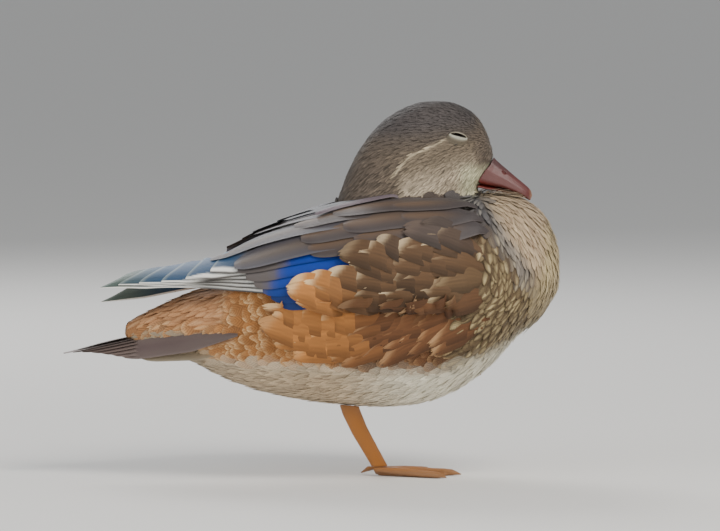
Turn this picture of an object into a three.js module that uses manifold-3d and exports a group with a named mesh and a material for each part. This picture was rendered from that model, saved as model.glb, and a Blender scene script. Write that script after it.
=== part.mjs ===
// A mandarin duck, a drake in its plain summer plumage, dozing on one leg.
// Life size, in millimetres: +X is the way the duck faces, +Y its left side, +Z up.
// The origin is on the floor under the standing foot.
import * as THREE from "three";
import { mergeVertices } from "three/addons/utils/BufferGeometryUtils.js";
import Module from "manifold-3d";

const wasm = await Module();
wasm.setup();

// Driving dimensions
const GAP = 0.3; // clearance between two pieces that touch
const FAR = 400; // beyond the duck on every side
const RIGHT = -1; // sign of Y on the duck's right side
const LEFT = 1;

// The body with its plumage: x, top, bottom, half width, height of the widest point, and how square the
// section is above and below that point.
const BODY = [
  [100.4, 121, 116, 4, 118.5, 2.0, 2.0],
  [99.2, 130.5, 108, 15, 119, 2.0, 2.0],
  [96, 141, 101.5, 25, 119, 2.1, 2.0],
  [91, 151, 93.5, 33.5, 118, 2.2, 2.0],
  [84, 157.5, 86.8, 41, 115, 2.3, 2.1],
  [74, 162.8, 78.5, 48, 112, 2.4, 2.2],
  [60, 164.5, 62.8, 54, 108, 2.5, 2.3],
  [42, 161.5, 49.5, 57.5, 104, 2.5, 2.3],
  [22, 157.5, 41.8, 59, 101, 2.5, 2.3],
  [0, 154.5, 39.4, 59.5, 99, 2.4, 2.3],
  [-25, 148.5, 40.8, 58, 98, 2.3, 2.3],
  [-50, 139, 43.8, 52.5, 97, 2.2, 2.2],
  [-75, 126, 49.3, 43, 95, 2.1, 2.1],
  [-95, 113, 57, 33, 91, 2.0, 2.0],
  [-112, 106.5, 65.6, 25, 88, 2.0, 2.0],
  [-128, 99.5, 70, 16, 87, 2.0, 2.0],
  [-142, 92.5, 74.5, 9, 84, 2.0, 2.0],
  [-150, 87, 79.5, 3, 83, 2.0, 2.0],
];
const BODY_SIDES = 24;

// The head and neck, drawn in between the shoulders: z, front, back, x of the widest point, half width.
const HOOD = [
  [215.2, 34, 28, 31, 1.5],
  [214.6, 38.5, 20.5, 30, 8],
  [213, 43.5, 14.5, 28.5, 12],
  [209.5, 50.3, 6.5, 26, 16],
  [204, 55.5, -1.5, 24, 19],
  [197, 59.3, -8.3, 22, 20.8],
  [190, 61.8, -13.5, 20, 21.5],
  [184, 62.8, -17.3, 18, 21.8],
  [178, 61, -20.3, 16, 22.2],
  [172, 57.5, -23, 14, 22.5],
  [166, 54, -25.2, 12, 23],
  [160, 52, -27.3, 10, 24.5],
  [150, 50, -30.5, 8, 28],
];
const HOOD_SIDES = 22;
const HOOD_LEVELS = 14;
const HOOD_FRONT_POWER = 1.9; // how square the section is in front and behind
const HOOD_BACK_POWER = 2.2;
const NAPE = [-19, 181]; // x and z of a point on the plane between head and neck
const THROAT = [54, 166]; // a second point of that plane

// The outside of the folded wings: x, top, height of the lower edge, half width, how square it is.
const WING_SHAPE = [
  [75, 157, 112, 47, 2.4],
  [60, 162.5, 110, 56, 2.6],
  [42, 164.6, 107, 62.5, 2.5],
  [22, 164.8, 104, 65, 2.5],
  [0, 163.8, 103, 66, 2.5],
  [-27, 159.5, 102.5, 65, 2.4],
  [-50, 152, 102.5, 60.5, 2.3],
  [-73, 142.5, 103, 53.5, 2.1],
  [-95, 130.8, 104, 43, 2.0],
  [-118, 123.5, 106, 31, 2.0],
  [-135, 120.6, 107.5, 23, 2.0],
  [-150, 117, 108, 15.5, 2.0],
  [-166, 110.5, 108, 8, 2.0],
];

const BILL_BASE = new THREE.Vector3(56, 0, 176);
const BILL_TIP = new THREE.Vector3(84.5, 0, 162.7);
// Along the bill from its base: distance, height of the ridge and of the edge over the axis, half width.
const UPPER_BILL = [
  [-2, 12, -8.4, 8.4],
  [5, 8.8, -7.1, 7.6],
  [13.4, 6.3, -4.8, 6.8],
  [20, 4.4, -3.9, 6.2],
  [26, 2.8, -3.6, 5.6],
  [30, 1.3, -4.3, 4.2],
  [32.2, -1.4, -4.4, 1.4],
];
const LOWER_BILL = [
  [-2, -8.4, -11.5, 6.6],
  [6, -7.2, -9.6, 6.2],
  [14, -5.0, -7.2, 5.6],
  [22, -4.1, -6.0, 4.9],
  [28, -4.0, -5.2, 3.2],
];
const BILL_WIDEST = 0.18; // how high the bill is widest, as a share of its height
const BILL_TOP_POWER = 1.8;
const BILL_LOW_POWER = 4;
const NOSTRIL = { along: 12, up: 4.2, out: 4.6, length: 3.6, height: 1.5, depth: 4.4 };

const EYE = { x: 41.4, z: 195, radius: 5.4, sunk: 4.4, upward: 0.22 };

const ANKLE = new THREE.Vector3(-19.5, -14, 38);
const TOE_JOINT = new THREE.Vector3(-4, -1, 6.5);

// One long feather: stations along it with its width at each, and how thick its edge is against its shaft.
const VANE_STEPS = [0, 0.42, 0.8, 1];
const VANE_WIDTHS = [0.6, 1, 0.82, 0.22];
const EDGE_THICKNESS = 0.75;

// The feathers of the folded wings
const LEFT_DROOP = 9; // the left wing's tip hangs this much lower
const DROOP_FROM = 70; // behind the origin
const DROOP_TO = 160;
const MIDLINE = 0.6; // how far the wings keep from the middle plane
const BELOW_SCALE = 1.05; // millimetres down for each degree below the lower edge
const WING_VANE = 0.7; // thickness of a wing feather
const TILT = 0.55; // how far its lower edge stands out
const ROOT_SINK = 1.6;
const ARC_SHARE = 0.72; // of the height and width of the wing's outside, taken as its radius
const TIP_X = -150; // where the feathers of both wings close up into one blade
const TIP_RUN = 60;
const TIP_INSET = 0.12;

// The primaries: x and z at the tip, z at the root, and how far each bows up between them.
const PRIMARIES = [
  [-100, 120, 134, 0.5],
  [-114, 116, 126, 2.5],
  [-128, 114, 119, 4],
  [-141, 112.8, 114, 5],
  [-153, 111.6, 109.5, 6],
  [-164, 109.6, 106, 7],
];
const PRIMARY_ROOT_X = -34;
const PRIMARY_HALF = 5.6;
const PRIMARY_INSET = 5;
const PRIMARY_STEP = 1.15; // each lies this much deeper than the one before, and less towards the tips
const PRIMARY_CLOSE_X = -190;
const PRIMARY_CLOSE_RUN = 70;
const PRIMARY_TOP = 0.88; // how high their upper edges reach, as a share of the wing's height

// The slab under the wing's feathers, from low to high in degrees round the wing.
const CORE_FRONT = 47;
const CORE_REAR = -62;
const CORE_INSET = 2.7;
const CORE_DEPTH = 9;
const CORE_LOW = 3;
const CORE_HIGH = 87;
const CORE_STEPS = 7;
const CORE_ACROSS = 6;

// The tail
const TAIL_PLANE_X = -88; // where the tail takes over from the torso
const TAIL_FEATHERS = 6; // on each side of the middle one
const TAIL_TOP = 93; // height of the middle feather's root
const TAIL_ROLL = 65; // how far the outermost is rolled, in degrees
const TAIL_FALL = 9; // how much lower its root is
const TAIL_FALL_POWER = 1.5;
const TAIL_FLATTER = 0.18; // how much less the outermost slopes down
const TAIL_LENGTH = 100;
const TAIL_HALF_WIDTH = 7.5; // of the closed tail behind the body
const TAIL_CLEAR = 1.2; // how far it stands out from the rump
const TAIL_VANE = 0.8;

// The flank feathers: how far each station stands off the body, and their thickness.
const FLANK_LIFTS = [-2, 3.6, 6.8, 7.6];
const FLANK_VANE = 0.9;

// Where the flank feathers end over the wing: x, z.
const FLANK_EDGE = [
  [60, 145],
  [40, 148],
  [17, 148],
  [-6, 141.5],
  [-32, 130],
  [-49, 114],
  [-70, 100],
];
const FLANK_LENGTH = 33;
const FLANK_TIERS = [
  { below: 8, rise: 19, first: 24, count: 4 },
  { below: 30, rise: -4, first: 8, count: 3 },
];
const FLANK_STEP = 24;
const FLANK_HALF = 11;

// The lids are a raised oval over the eye, with a slit that slopes down forward, in degrees.
const LID = { long: 7, high: 4.5, deep: 3.3, up: 0, sunk: 1.2, slope: 0 };
const SLIT = { long: 5.3, high: 1.15, deep: 6, up: 0.8, sunk: 0, slope: 10 };

// The legs and feet: points along each limb, and its radius at each of them.
const LIMB_SIDES = 12;
const LIMB_STEPS = 3; // between two points
const TOES = [
  { turn: 27, length: 37 },
  { turn: -1, length: 48 },
  { turn: -27, length: 44 },
];
const TOE_RADII = [4, 2.7, 2.3, 1.9, 0.35];
const TOE_HEIGHTS = [4.6, 3, 2.1, 1.8, 0.6];
const TOE_SIDES = 6;
const TOE_STEPS = 2;
const CLAW = 5.5;
const HALLUX = [new THREE.Vector3(-5, 1, 6), new THREE.Vector3(-9.5, 4, 3.4), new THREE.Vector3(-14, 6, 0.8)];
const HALLUX_RADII = [2.4, 1.6, 0.4];
const WEB_THICK = 0.9;
const WEB_STEPS = 6; // points along each edge
const WEB_BACK = 1.2; // how far the webs end behind the claws
const WEB_SCOOP = 5; // how far their edges curve in between the toes
const ANKLE_CUT_Z = 5.2; // where the shank ends and the foot starts
const SHANK = [new THREE.Vector3(-23, -15, 58), ANKLE, new THREE.Vector3(-2, -1, 3.5)];
const SHANK_RADII = [7, 5.3, 4.2];
const SHANK_FLAT = 0.72; // its width against its depth
const TUCKED_SHANK = [
  new THREE.Vector3(-30, 29, 56),
  new THREE.Vector3(-25, 35, 47.5),
  new THREE.Vector3(-5, 37, 45),
  new THREE.Vector3(16, 37, 46),
];
const TUCKED_RADII = [6.5, 5, 3.8, 4];
const TUCKED_CUT_X = 12; // where the tucked shank ends and its foot starts
const TUCKED_TOES = [
  { length: 34, spread: -5, drop: -1.5 },
  { length: 44, spread: 0, drop: 0 },
  { length: 40, spread: 5, drop: 1.5 },
];
const TUCKED_TOE_RADII = [3.6, 2.6, 0.7];
const TUCKED_FLAT = 0.85;
// Along a tucked toe: share of its length, y and z, and share of its spread.
const TUCKED_TOE_LINE = [
  [0, 37, 46, 0],
  [0.45, 35, 48.5, 0.6],
  [1, 31, 56, 1],
];

// Reads a table of rows at t, counted in rows, along a smooth curve through them.
function readRow(rows, t) {
  const last = rows.length - 1;
  const i = Math.min(Math.max(Math.floor(t), 0), last - 1);
  const f = Math.min(Math.max(t - i, 0), 1);
  const row = (k) => rows[Math.min(Math.max(k, 0), last)];
  const [a, b, c, d] = [row(i - 1), row(i), row(i + 1), row(i + 2)];
  return b.map((_, k) => {
    const slopeIn = (c[k] - a[k]) / 2;
    const slopeOut = (d[k] - b[k]) / 2;
    const rise = c[k] - b[k];
    const cubic = slopeIn + slopeOut - 2 * rise;
    const square = 3 * rise - 2 * slopeIn - slopeOut;
    return b[k] + f * (slopeIn + f * (square + f * cubic));
  });
}

// Reads a table at a value of its first column, which falls from row to row.
function readAt(rows, value) {
  let low = 0;
  let high = rows.length - 1;
  for (let step = 0; step < 40; step += 1) {
    const middle = (low + high) / 2;
    if (readRow(rows, middle)[0] > value) low = middle;
    else high = middle;
  }
  return readRow(rows, low);
}

const power = (value, n) => Math.sign(value) * Math.abs(value) ** (2 / n);

// A closed surface through rings of points, with a fan at each end.
function skinRings(rings) {
  const around = rings[0].length;
  const points = rings.flat();
  const faces = [];
  rings.slice(1).forEach((_, k) => {
    for (let j = 0; j < around; j += 1) {
      const next = (j + 1) % around;
      const [a, b] = [k * around + j, k * around + next];
      const [c, d] = [a + around, b + around];
      faces.push(a, b, d, a, d, c);
    }
  });
  [rings[0], rings[rings.length - 1]].forEach((ring, end) => {
    const middle = ring.reduce((sum, p) => sum.add(p), new THREE.Vector3()).divideScalar(around);
    const start = end ? (rings.length - 1) * around : 0;
    points.push(middle);
    for (let j = 0; j < around; j += 1) {
      const next = (j + 1) % around;
      const edge = end ? [start + j, start + next] : [start + next, start + j];
      faces.push(points.length - 1, ...edge);
    }
  });
  return new THREE.BufferGeometry().setFromPoints(points).setIndex(faces);
}

// A three.js geometry as a solid, turned right side out.
function solid(geometry) {
  const plain = geometry.clone();
  plain.deleteAttribute("normal");
  plain.deleteAttribute("uv");
  const merged = mergeVertices(plain, 1e-4);
  const make = (triVerts) =>
    new wasm.Manifold(
      new wasm.Mesh({
        numProp: 3,
        vertProperties: new Float32Array(merged.attributes.position.array),
        triVerts: new Uint32Array(triVerts),
      }),
    );
  const faces = Array.from(merged.index.array);
  const made = make(faces);
  if (made.volume() >= 0) return made;
  for (let i = 0; i < faces.length; i += 3) [faces[i + 1], faces[i + 2]] = [faces[i + 2], faces[i + 1]];
  return make(faces);
}

const join = (solids) => solids.reduce((whole, piece) => whole.add(piece));

// The largest closed surface of a solid, without scraps.
function largest(whole) {
  return whole.decompose().reduce((best, body) => (body.volume() > best.volume() ? body : best));
}

function toGeometry(whole) {
  const mesh = whole.getMesh();
  return new THREE.BufferGeometry()
    .setAttribute("position", new THREE.BufferAttribute(new Float32Array(mesh.vertProperties), 3))
    .setIndex(new THREE.BufferAttribute(new Uint32Array(mesh.triVerts), 1));
}

// A box between two corners.
function block(low, high) {
  const size = high.map((value, k) => value - low[k]);
  const middle = high.map((value, k) => (value + low[k]) / 2);
  return solid(new THREE.BoxGeometry(...size).translate(...middle));
}

// Everything on the upper side of the plane through two points of the side view.
function above([x0, z0], [x1, z1]) {
  const slope = Math.atan2(z1 - z0, x1 - x0);
  const slab = new THREE.BoxGeometry(2 * FAR, 2 * FAR, FAR).translate(0, 0, FAR / 2).rotateY(-slope);
  return solid(slab.translate(x0, 0, z0));
}

// The torso
function bodyRing(t, around, grow) {
  const [x, top, bottom, width, level, topPower, bottomPower] = readRow(BODY, t);
  return Array.from({ length: around }, (_, j) => {
    const angle = (2 * Math.PI * j) / around;
    const upper = Math.sin(angle) >= 0;
    const n = upper ? topPower : bottomPower;
    const reach = (upper ? top - level : level - bottom) + grow;
    return new THREE.Vector3(
      x,
      (width + grow) * power(Math.cos(angle), n),
      level + reach * power(Math.sin(angle), n),
    );
  });
}

function bodyLoft(around, perRow, grow = 0) {
  const count = (BODY.length - 1) * perRow;
  const rings = Array.from({ length: count + 1 }, (_, k) => bodyRing(k / perRow, around, grow));
  rings[0].forEach((p) => p.setX(p.x + grow));
  rings[count].forEach((p) => p.setX(p.x - grow));
  return solid(skinRings(rings));
}

// The head and neck
function hoodPoint(z, angle, grow = 0) {
  const [, front, back, wide, width] = readAt(HOOD, z);
  const forward = Math.cos(angle) >= 0;
  const n = forward ? HOOD_FRONT_POWER : HOOD_BACK_POWER;
  const reach = (forward ? front - wide : wide - back) + grow;
  const x = wide + reach * power(Math.cos(angle), n);
  const y = (width + grow) * power(Math.sin(angle), n);
  return new THREE.Vector3(x, y, z);
}

function hoodLoft(around, levels, grow = 0) {
  const rings = Array.from({ length: levels + 1 }, (_, k) => {
    const t = ((HOOD.length - 1) * k) / levels;
    const z = readRow(HOOD, t)[0];
    return Array.from({ length: around }, (_, j) => hoodPoint(z, (2 * Math.PI * j) / around, grow));
  });
  rings[0].forEach((p) => p.setZ(p.z + grow));
  return solid(skinRings(rings));
}

// The bill
const billAlong = BILL_TIP.clone().sub(BILL_BASE).normalize();
const billUp = new THREE.Vector3(-billAlong.z, 0, billAlong.x);

function billPoint(along, side, up) {
  return BILL_BASE.clone().addScaledVector(billAlong, along).addScaledVector(billUp, up).setY(side);
}

function billRing([along, ridge, edge, width], around, grow) {
  return Array.from({ length: around }, (_, j) => {
    const angle = (2 * Math.PI * j) / around;
    const low = Math.sin(angle) < 0;
    const middle = edge + (ridge - edge) * BILL_WIDEST;
    const reach = (low ? middle - edge : ridge - middle) + grow;
    const n = low ? BILL_LOW_POWER : BILL_TOP_POWER;
    const side = (width + grow) * power(Math.cos(angle), n);
    return billPoint(along, side, middle + reach * power(Math.sin(angle), n));
  });
}

function billLoft(rows, around, perRow, grow = 0) {
  const count = (rows.length - 1) * perRow;
  const ring = (k) => billRing(readRow(rows, k / perRow), around, grow);
  const rings = Array.from({ length: count + 1 }, (_, k) => ring(k));
  return solid(skinRings(rings));
}

function nostril(side) {
  const hole = new THREE.SphereGeometry(0.5, 8, 6).scale(NOSTRIL.length, NOSTRIL.depth, NOSTRIL.height);
  hole.rotateY(Math.atan2(-billAlong.z, billAlong.x));
  const at = billPoint(NOSTRIL.along, side * NOSTRIL.out, NOSTRIL.up);
  return solid(hole.translate(at.x, at.y, at.z));
}

// The eyes
function eyeFrame(side) {
  const [, front, , wide, width] = readAt(HOOD, EYE.z);
  const u = (EYE.x - wide) / (front - wide);
  const y = width * (1 - u ** HOOD_FRONT_POWER) ** (1 / HOOD_FRONT_POWER);
  const slopeX = (u ** (HOOD_FRONT_POWER - 1) / (front - wide)) * width;
  const out = new THREE.Vector3(slopeX, side * (y / width) ** (HOOD_FRONT_POWER - 1), EYE.upward);
  return { surface: new THREE.Vector3(EYE.x, side * y, EYE.z), out: out.normalize() };
}

function eyeball(side, radius) {
  const { surface, out } = eyeFrame(side);
  const centre = surface.clone().addScaledVector(out, -EYE.sunk);
  return solid(new THREE.SphereGeometry(radius, 12, 6).translate(centre.x, centre.y, centre.z));
}

// A round limb through points of given radii, flattened from side to side.
function limb(points, radii, flat, around = LIMB_SIDES, steps = LIMB_STEPS) {
  const curve = new THREE.CatmullRomCurve3(points);
  const count = steps * (points.length - 1);
  const rings = Array.from({ length: count + 1 }, (_, k) => {
    const t = k / count;
    const at = curve.getPoint(t);
    const along = curve.getTangent(t);
    const across = new THREE.Vector3(0, 1, 0).addScaledVector(along, -along.y).normalize();
    const front = new THREE.Vector3().crossVectors(across, along);
    const [radius] = readRow(radii.map((r) => [r]), t * (radii.length - 1));
    return Array.from({ length: around }, (_, j) => {
      const angle = (2 * Math.PI * j) / around;
      return at
        .clone()
        .addScaledVector(front, radius * Math.cos(angle))
        .addScaledVector(across, radius * flat * Math.sin(angle));
    });
  });
  return solid(skinRings(rings));
}

// One feather: stations of three points across, from root to tip, given thickness along their own normal.
// Both faces are split into the same triangles.
function vane(stations, thickness, grow = 0) {
  const count = stations.length;
  const faces = [];
  const upper = [];
  const lower = [];
  stations.forEach(([left, middle, right], k) => {
    const before = stations[Math.max(k - 1, 0)][1];
    const after = stations[Math.min(k + 1, count - 1)][1];
    const along = after.clone().sub(before).normalize();
    const across = right.clone().sub(left).normalize();
    const out = new THREE.Vector3().crossVectors(along, across).normalize();
    const ends = k === 0 ? -grow : k === count - 1 ? grow : 0;
    [left, middle, right].forEach((p, j) => {
      const edge = j === 1 ? 1 : EDGE_THICKNESS;
      const half = (thickness * edge) / 2 + grow;
      const base = p.clone().addScaledVector(across, (j - 1) * grow).addScaledVector(along, ends);
      upper.push(base.clone().addScaledVector(out, half));
      lower.push(base.clone().addScaledVector(out, -half));
    });
  });
  const shift = upper.length;
  const quad = (a, b, c, d) => faces.push(a, b, d, a, d, c);
  for (let k = 0; k < count - 1; k += 1) {
    for (let j = 0; j < 2; j += 1) {
      const [a, b] = [3 * k + j, 3 * k + j + 1];
      const [c, d] = [a + 3, b + 3];
      quad(a, b, c, d);
      faces.push(shift + a, shift + d, shift + b, shift + a, shift + c, shift + d);
    }
    quad(3 * k + shift, 3 * k, 3 * k + 3 + shift, 3 * k + 3);
    quad(3 * k + 2, 3 * k + 2 + shift, 3 * k + 5, 3 * k + 5 + shift);
  }
  const last = 3 * (count - 1);
  for (let j = 0; j < 2; j += 1) {
    quad(shift + j, shift + j + 1, j, j + 1);
    quad(last + j, last + j + 1, last + shift + j, last + shift + j + 1);
  }
  return solid(new THREE.BufferGeometry().setFromPoints([...upper, ...lower]).setIndex(faces));
}

// The outside of a folded wing at an angle up from its lower edge, in degrees.
function wingPoint(x, angle, side, inset) {
  const [, top, level, width, n] = readAt(WING_SHAPE, x);
  const turn = THREE.MathUtils.degToRad(Math.min(Math.max(angle, 0), 90));
  const below = Math.min(angle, 0) * BELOW_SCALE;
  const droop = side === LEFT ? LEFT_DROOP * THREE.MathUtils.smoothstep(-x, DROOP_FROM, DROOP_TO) : 0;
  return new THREE.Vector3(
    x,
    side * Math.max((width - inset) * power(Math.cos(turn), n), MIDLINE),
    level + Math.max(top - level - inset, 1) * power(Math.sin(turn), n) + below - droop,
  );
}

// The angle at which the wing's outside has a height.
function wingAngle(x, z) {
  const [, top, level, , n] = readAt(WING_SHAPE, x);
  if (z <= level) return (z - level) / BELOW_SCALE;
  const share = Math.min((z - level) / (top - level), 1);
  return THREE.MathUtils.radToDeg(Math.asin(share ** (n / 2)));
}

// How deep a feather lies: the insets shrink where the two wings close up.
const insetAt = (x, inset) => inset * THREE.MathUtils.clamp((x - TIP_X) / TIP_RUN, TIP_INSET, 1);

// A feather lying on the wing, from root to tip in the side view. It tilts so that its lower edge stands out.
function wingVane({ root, tip, half, inset }, side) {
  const angles = [wingAngle(...root), wingAngle(...tip)];
  const stations = VANE_STEPS.map((t, k) => {
    const x = root[0] + (tip[0] - root[0]) * t;
    const angle = angles[0] + (angles[1] - angles[0]) * t;
    const [, top, level, width] = readAt(WING_SHAPE, x);
    const degree = THREE.MathUtils.degToRad(Math.hypot(top - level, width) * ARC_SHARE);
    const turn = (half * VANE_WIDTHS[k]) / degree;
    const depth = insetAt(x, inset) + (k === 0 ? ROOT_SINK : 0);
    const tilted = (j) => depth + j * TILT * VANE_WIDTHS[k];
    return [-1, 0, 1].map((j) => wingPoint(x, angle + j * turn, side, tilted(j)));
  });
  return vane(stations, WING_VANE);
}

// Points spread evenly between two ends of a row of feathers.
const between = (from, to, share) => from.map((value, k) => value + (to[k] - value) * share);

function row(count, rootFrom, rootTo, tipFrom, tipTo, rest) {
  return Array.from({ length: count }, (_, k) => {
    const share = count > 1 ? k / (count - 1) : 0;
    return { root: between(rootFrom, rootTo, share), tip: between(tipFrom, tipTo, share), ...rest };
  });
}

// A primary stands on its edge, so that it is broad in the side view.
function primaryVane([tipX, tipZ, rootZ, bow], order, side) {
  const stations = VANE_STEPS.map((t, k) => {
    const x = PRIMARY_ROOT_X + (tipX - PRIMARY_ROOT_X) * t;
    const z = rootZ + (tipZ - rootZ) * t + 4 * bow * t * (1 - t);
    const [, top, level] = readAt(WING_SHAPE, x);
    const half = Math.min(PRIMARY_HALF * VANE_WIDTHS[k], level + PRIMARY_TOP * (top - level) - z);
    const open = THREE.MathUtils.clamp((x - PRIMARY_CLOSE_X) / PRIMARY_CLOSE_RUN, 0, 1);
    const depth = insetAt(x, PRIMARY_INSET) + PRIMARY_STEP * order * open;
    return [-1, 0, 1].map((j) => {
      const at = wingPoint(x, wingAngle(x, z + j * half), side, 0);
      return at.setY(side * Math.max(Math.abs(at.y) - depth - j * TILT, MIDLINE));
    });
  });
  return vane(stations, WING_VANE);
}

const SECONDARIES = row(4, [8, 138], [-4, 113], [-89, 124], [-62, 106], { half: 7.4, inset: 2.9 });
const TERTIALS = row(3, [12, 150], [4, 161], [-97, 125], [-77, 141], { half: 9.6, inset: 1.9 });
const SCAPULARS = row(4, [44, 137], [36, 161], [-14, 138], [-42, 153], { half: 10.8, inset: 0.8 });
const COVERTS = row(2, [40, 130], [34, 121], [-24, 130], [-26, 119], { half: 8.5, inset: 1.9 });

// The wing under its feathers: a slab that hugs the body.
function wingCore(side) {
  const turn = (CORE_HIGH - CORE_LOW) / (CORE_ACROSS - 1);
  const rings = Array.from({ length: CORE_STEPS + 1 }, (_, k) => {
    const x = CORE_FRONT + ((CORE_REAR - CORE_FRONT) * k) / CORE_STEPS;
    const arc = (inset) =>
      Array.from({ length: CORE_ACROSS }, (_, j) => wingPoint(x, CORE_LOW + turn * j, side, inset));
    return [...arc(CORE_INSET), ...arc(CORE_INSET + CORE_DEPTH).reverse()];
  });
  return solid(skinRings(rings));
}

function wing(side) {
  const primaries = PRIMARIES.map((one, order) => primaryVane(one, order, side));
  const others = [...SECONDARIES, ...TERTIALS, ...SCAPULARS, ...COVERTS].map((one) => wingVane(one, side));
  return join([wingCore(side), ...primaries, ...others]);
}

// The tail: its feathers leave the rump's sides and close in on the middle, like a roof.
function tailVane({ index, length, half, lift, drop, front }) {
  const share = index / TAIL_FEATHERS;
  const roll = THREE.MathUtils.degToRad(TAIL_ROLL * share);
  const fall = Math.tan(THREE.MathUtils.degToRad(drop)) * (1 - TAIL_FLATTER * Math.abs(share));
  const top = TAIL_TOP - TAIL_FALL * Math.abs(share) ** TAIL_FALL_POWER + lift;
  const across = new THREE.Vector3(0, Math.cos(roll), -Math.sin(roll));
  const stations = VANE_STEPS.map((t, k) => {
    const x = front - length * t;
    const width = Math.max(readAt(BODY, x)[3] + TAIL_CLEAR, TAIL_HALF_WIDTH);
    const middle = new THREE.Vector3(x, share * width, top - length * t * fall);
    return [-1, 0, 1].map((j) => middle.clone().addScaledVector(across, j * half * VANE_WIDTHS[k]));
  });
  return vane(stations, TAIL_VANE);
}

// Like feathers numbered out from the middle on both sides, shorter as they go.
function fan(reach, step, rest, shorter) {
  return Array.from({ length: 2 * reach + 1 }, (_, k) => {
    const index = (k - reach) * step;
    return { index, ...rest, length: rest.length - shorter * Math.abs(index) };
  });
}

const RECTRICES = fan(5, 1.2, { length: TAIL_LENGTH, half: 6.2, lift: 0, drop: 12.5, front: -84 }, 5.5);
const UPPER_COVERTS = fan(1, 3, { length: 66, half: 7.2, lift: 7, drop: 14.5, front: -70 }, 3.4);
const UNDER_COVERTS = fan(1, 3, { length: 68, half: 7.5, lift: -13, drop: 4, front: -84 }, 3);
const tailFan = () => join([...RECTRICES, ...UPPER_COVERTS, ...UNDER_COVERTS].map(tailVane));

// Flank feathers grow from the side of the breast and lie over the wing's lower edge.
function bodySide(x, z, side, lift) {
  const [, top, bottom, width, level, topPower, bottomPower] = readAt(BODY, x);
  const n = z > level ? topPower : bottomPower;
  const share = Math.min(Math.abs(z - level) / (z > level ? top - level : level - bottom), 0.995);
  return new THREE.Vector3(x, side * (width * (1 - share ** n) ** (1 / n) + lift), z);
}

function flankVane({ root, tip, half }, side, grow = 0) {
  const stations = VANE_STEPS.map((t, k) => {
    const [x, z] = between(root, tip, t);
    return [-1, 0, 1].map((j) => bodySide(x, z + j * half * VANE_WIDTHS[k], side, FLANK_LIFTS[k]));
  });
  return vane(stations, FLANK_VANE, grow);
}

const FLANKS = FLANK_TIERS.flatMap(({ below, rise, first, count }) => {
  const angle = THREE.MathUtils.degToRad(rise);
  return Array.from({ length: count }, (_, k) => {
    const x = first - FLANK_STEP * k;
    const z = readAt(FLANK_EDGE, x)[1] - below;
    const root = [x + FLANK_LENGTH * Math.cos(angle), z - FLANK_LENGTH * Math.sin(angle)];
    return { root, tip: [x, z], half: FLANK_HALF };
  });
});
const flanks = (side, grow = 0) => join(FLANKS.map((one) => flankVane(one, side, grow)));

// An oval set into the surface at the eye.
function eyeOval(side, { long, high, deep, up, sunk, slope }) {
  const { surface, out } = eyeFrame(side);
  const forward = new THREE.Vector3(1, 0, 0).addScaledVector(out, -out.x).normalize();
  const rise = new THREE.Vector3().crossVectors(out, forward).multiplyScalar(-side);
  const at = surface.clone().addScaledVector(out, -sunk).addScaledVector(rise, up);
  const turn = THREE.MathUtils.degToRad(slope);
  const axisLong = forward.clone().multiplyScalar(Math.cos(turn)).addScaledVector(rise, -Math.sin(turn));
  const axisHigh = rise.clone().multiplyScalar(Math.cos(turn)).addScaledVector(forward, Math.sin(turn));
  const frame = new THREE.Matrix4().makeBasis(
    axisLong.multiplyScalar(long),
    axisHigh.multiplyScalar(high),
    out.clone().multiplyScalar(deep),
  );
  return solid(new THREE.SphereGeometry(1, 10, 6).applyMatrix4(frame).translate(at.x, at.y, at.z));
}

// The feet: toes as tapered limbs, with webs between them.
function toePoint(turn, reach, height) {
  const angle = THREE.MathUtils.degToRad(turn);
  const x = TOE_JOINT.x + reach * Math.cos(angle);
  return new THREE.Vector3(x, TOE_JOINT.y + reach * Math.sin(angle), height);
}

function toe({ turn, length }) {
  const reaches = [-1, length * 0.3, length * 0.65, length - CLAW, length];
  const points = reaches.map((reach, k) => toePoint(turn, reach, TOE_HEIGHTS[k]));
  return limb(points, TOE_RADII, 1, TOE_SIDES, TOE_STEPS);
}

function web() {
  const edge = [];
  TOES.slice(1).forEach((next, k) => {
    const from = TOES[k];
    for (let j = 0; j <= WEB_STEPS; j += 1) {
      const t = j / WEB_STEPS;
      const turn = from.turn + (next.turn - from.turn) * t;
      const reach = from.length + (next.length - from.length) * t - CLAW - WEB_BACK;
      edge.push(toePoint(turn, reach - WEB_SCOOP * Math.sin(Math.PI * t), 0));
    }
  });
  const corners = [TOE_JOINT, ...edge].map((p) => new THREE.Vector2(p.x, p.y));
  const outline = new THREE.Shape(corners);
  return solid(new THREE.ExtrudeGeometry(outline, { depth: WEB_THICK, bevelEnabled: false }));
}

const floor = block([-FAR, -FAR, -FAR], [FAR, FAR, 0]);

function standingFoot() {
  const hallux = limb(HALLUX, HALLUX_RADII, 1, TOE_SIDES, TOE_STEPS);
  return join([...TOES.map(toe), web(), hallux]).subtract(floor);
}

const standingLeg = () => limb(SHANK, SHANK_RADII, SHANK_FLAT);
const tuckedLeg = () => limb(TUCKED_SHANK, TUCKED_RADII, TUCKED_FLAT);

function tuckedToe({ length, spread, drop }) {
  const points = TUCKED_TOE_LINE.map(
    ([along, y, z, open], k) =>
      new THREE.Vector3(TUCKED_CUT_X - 1 + (length + 1) * along, y + spread * open, k ? z + drop : z),
  );
  return limb(points, TUCKED_TOE_RADII, 1, TOE_SIDES, TOE_STEPS);
}

const tuckedFoot = () => join(TUCKED_TOES.map(tuckedToe));

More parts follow.
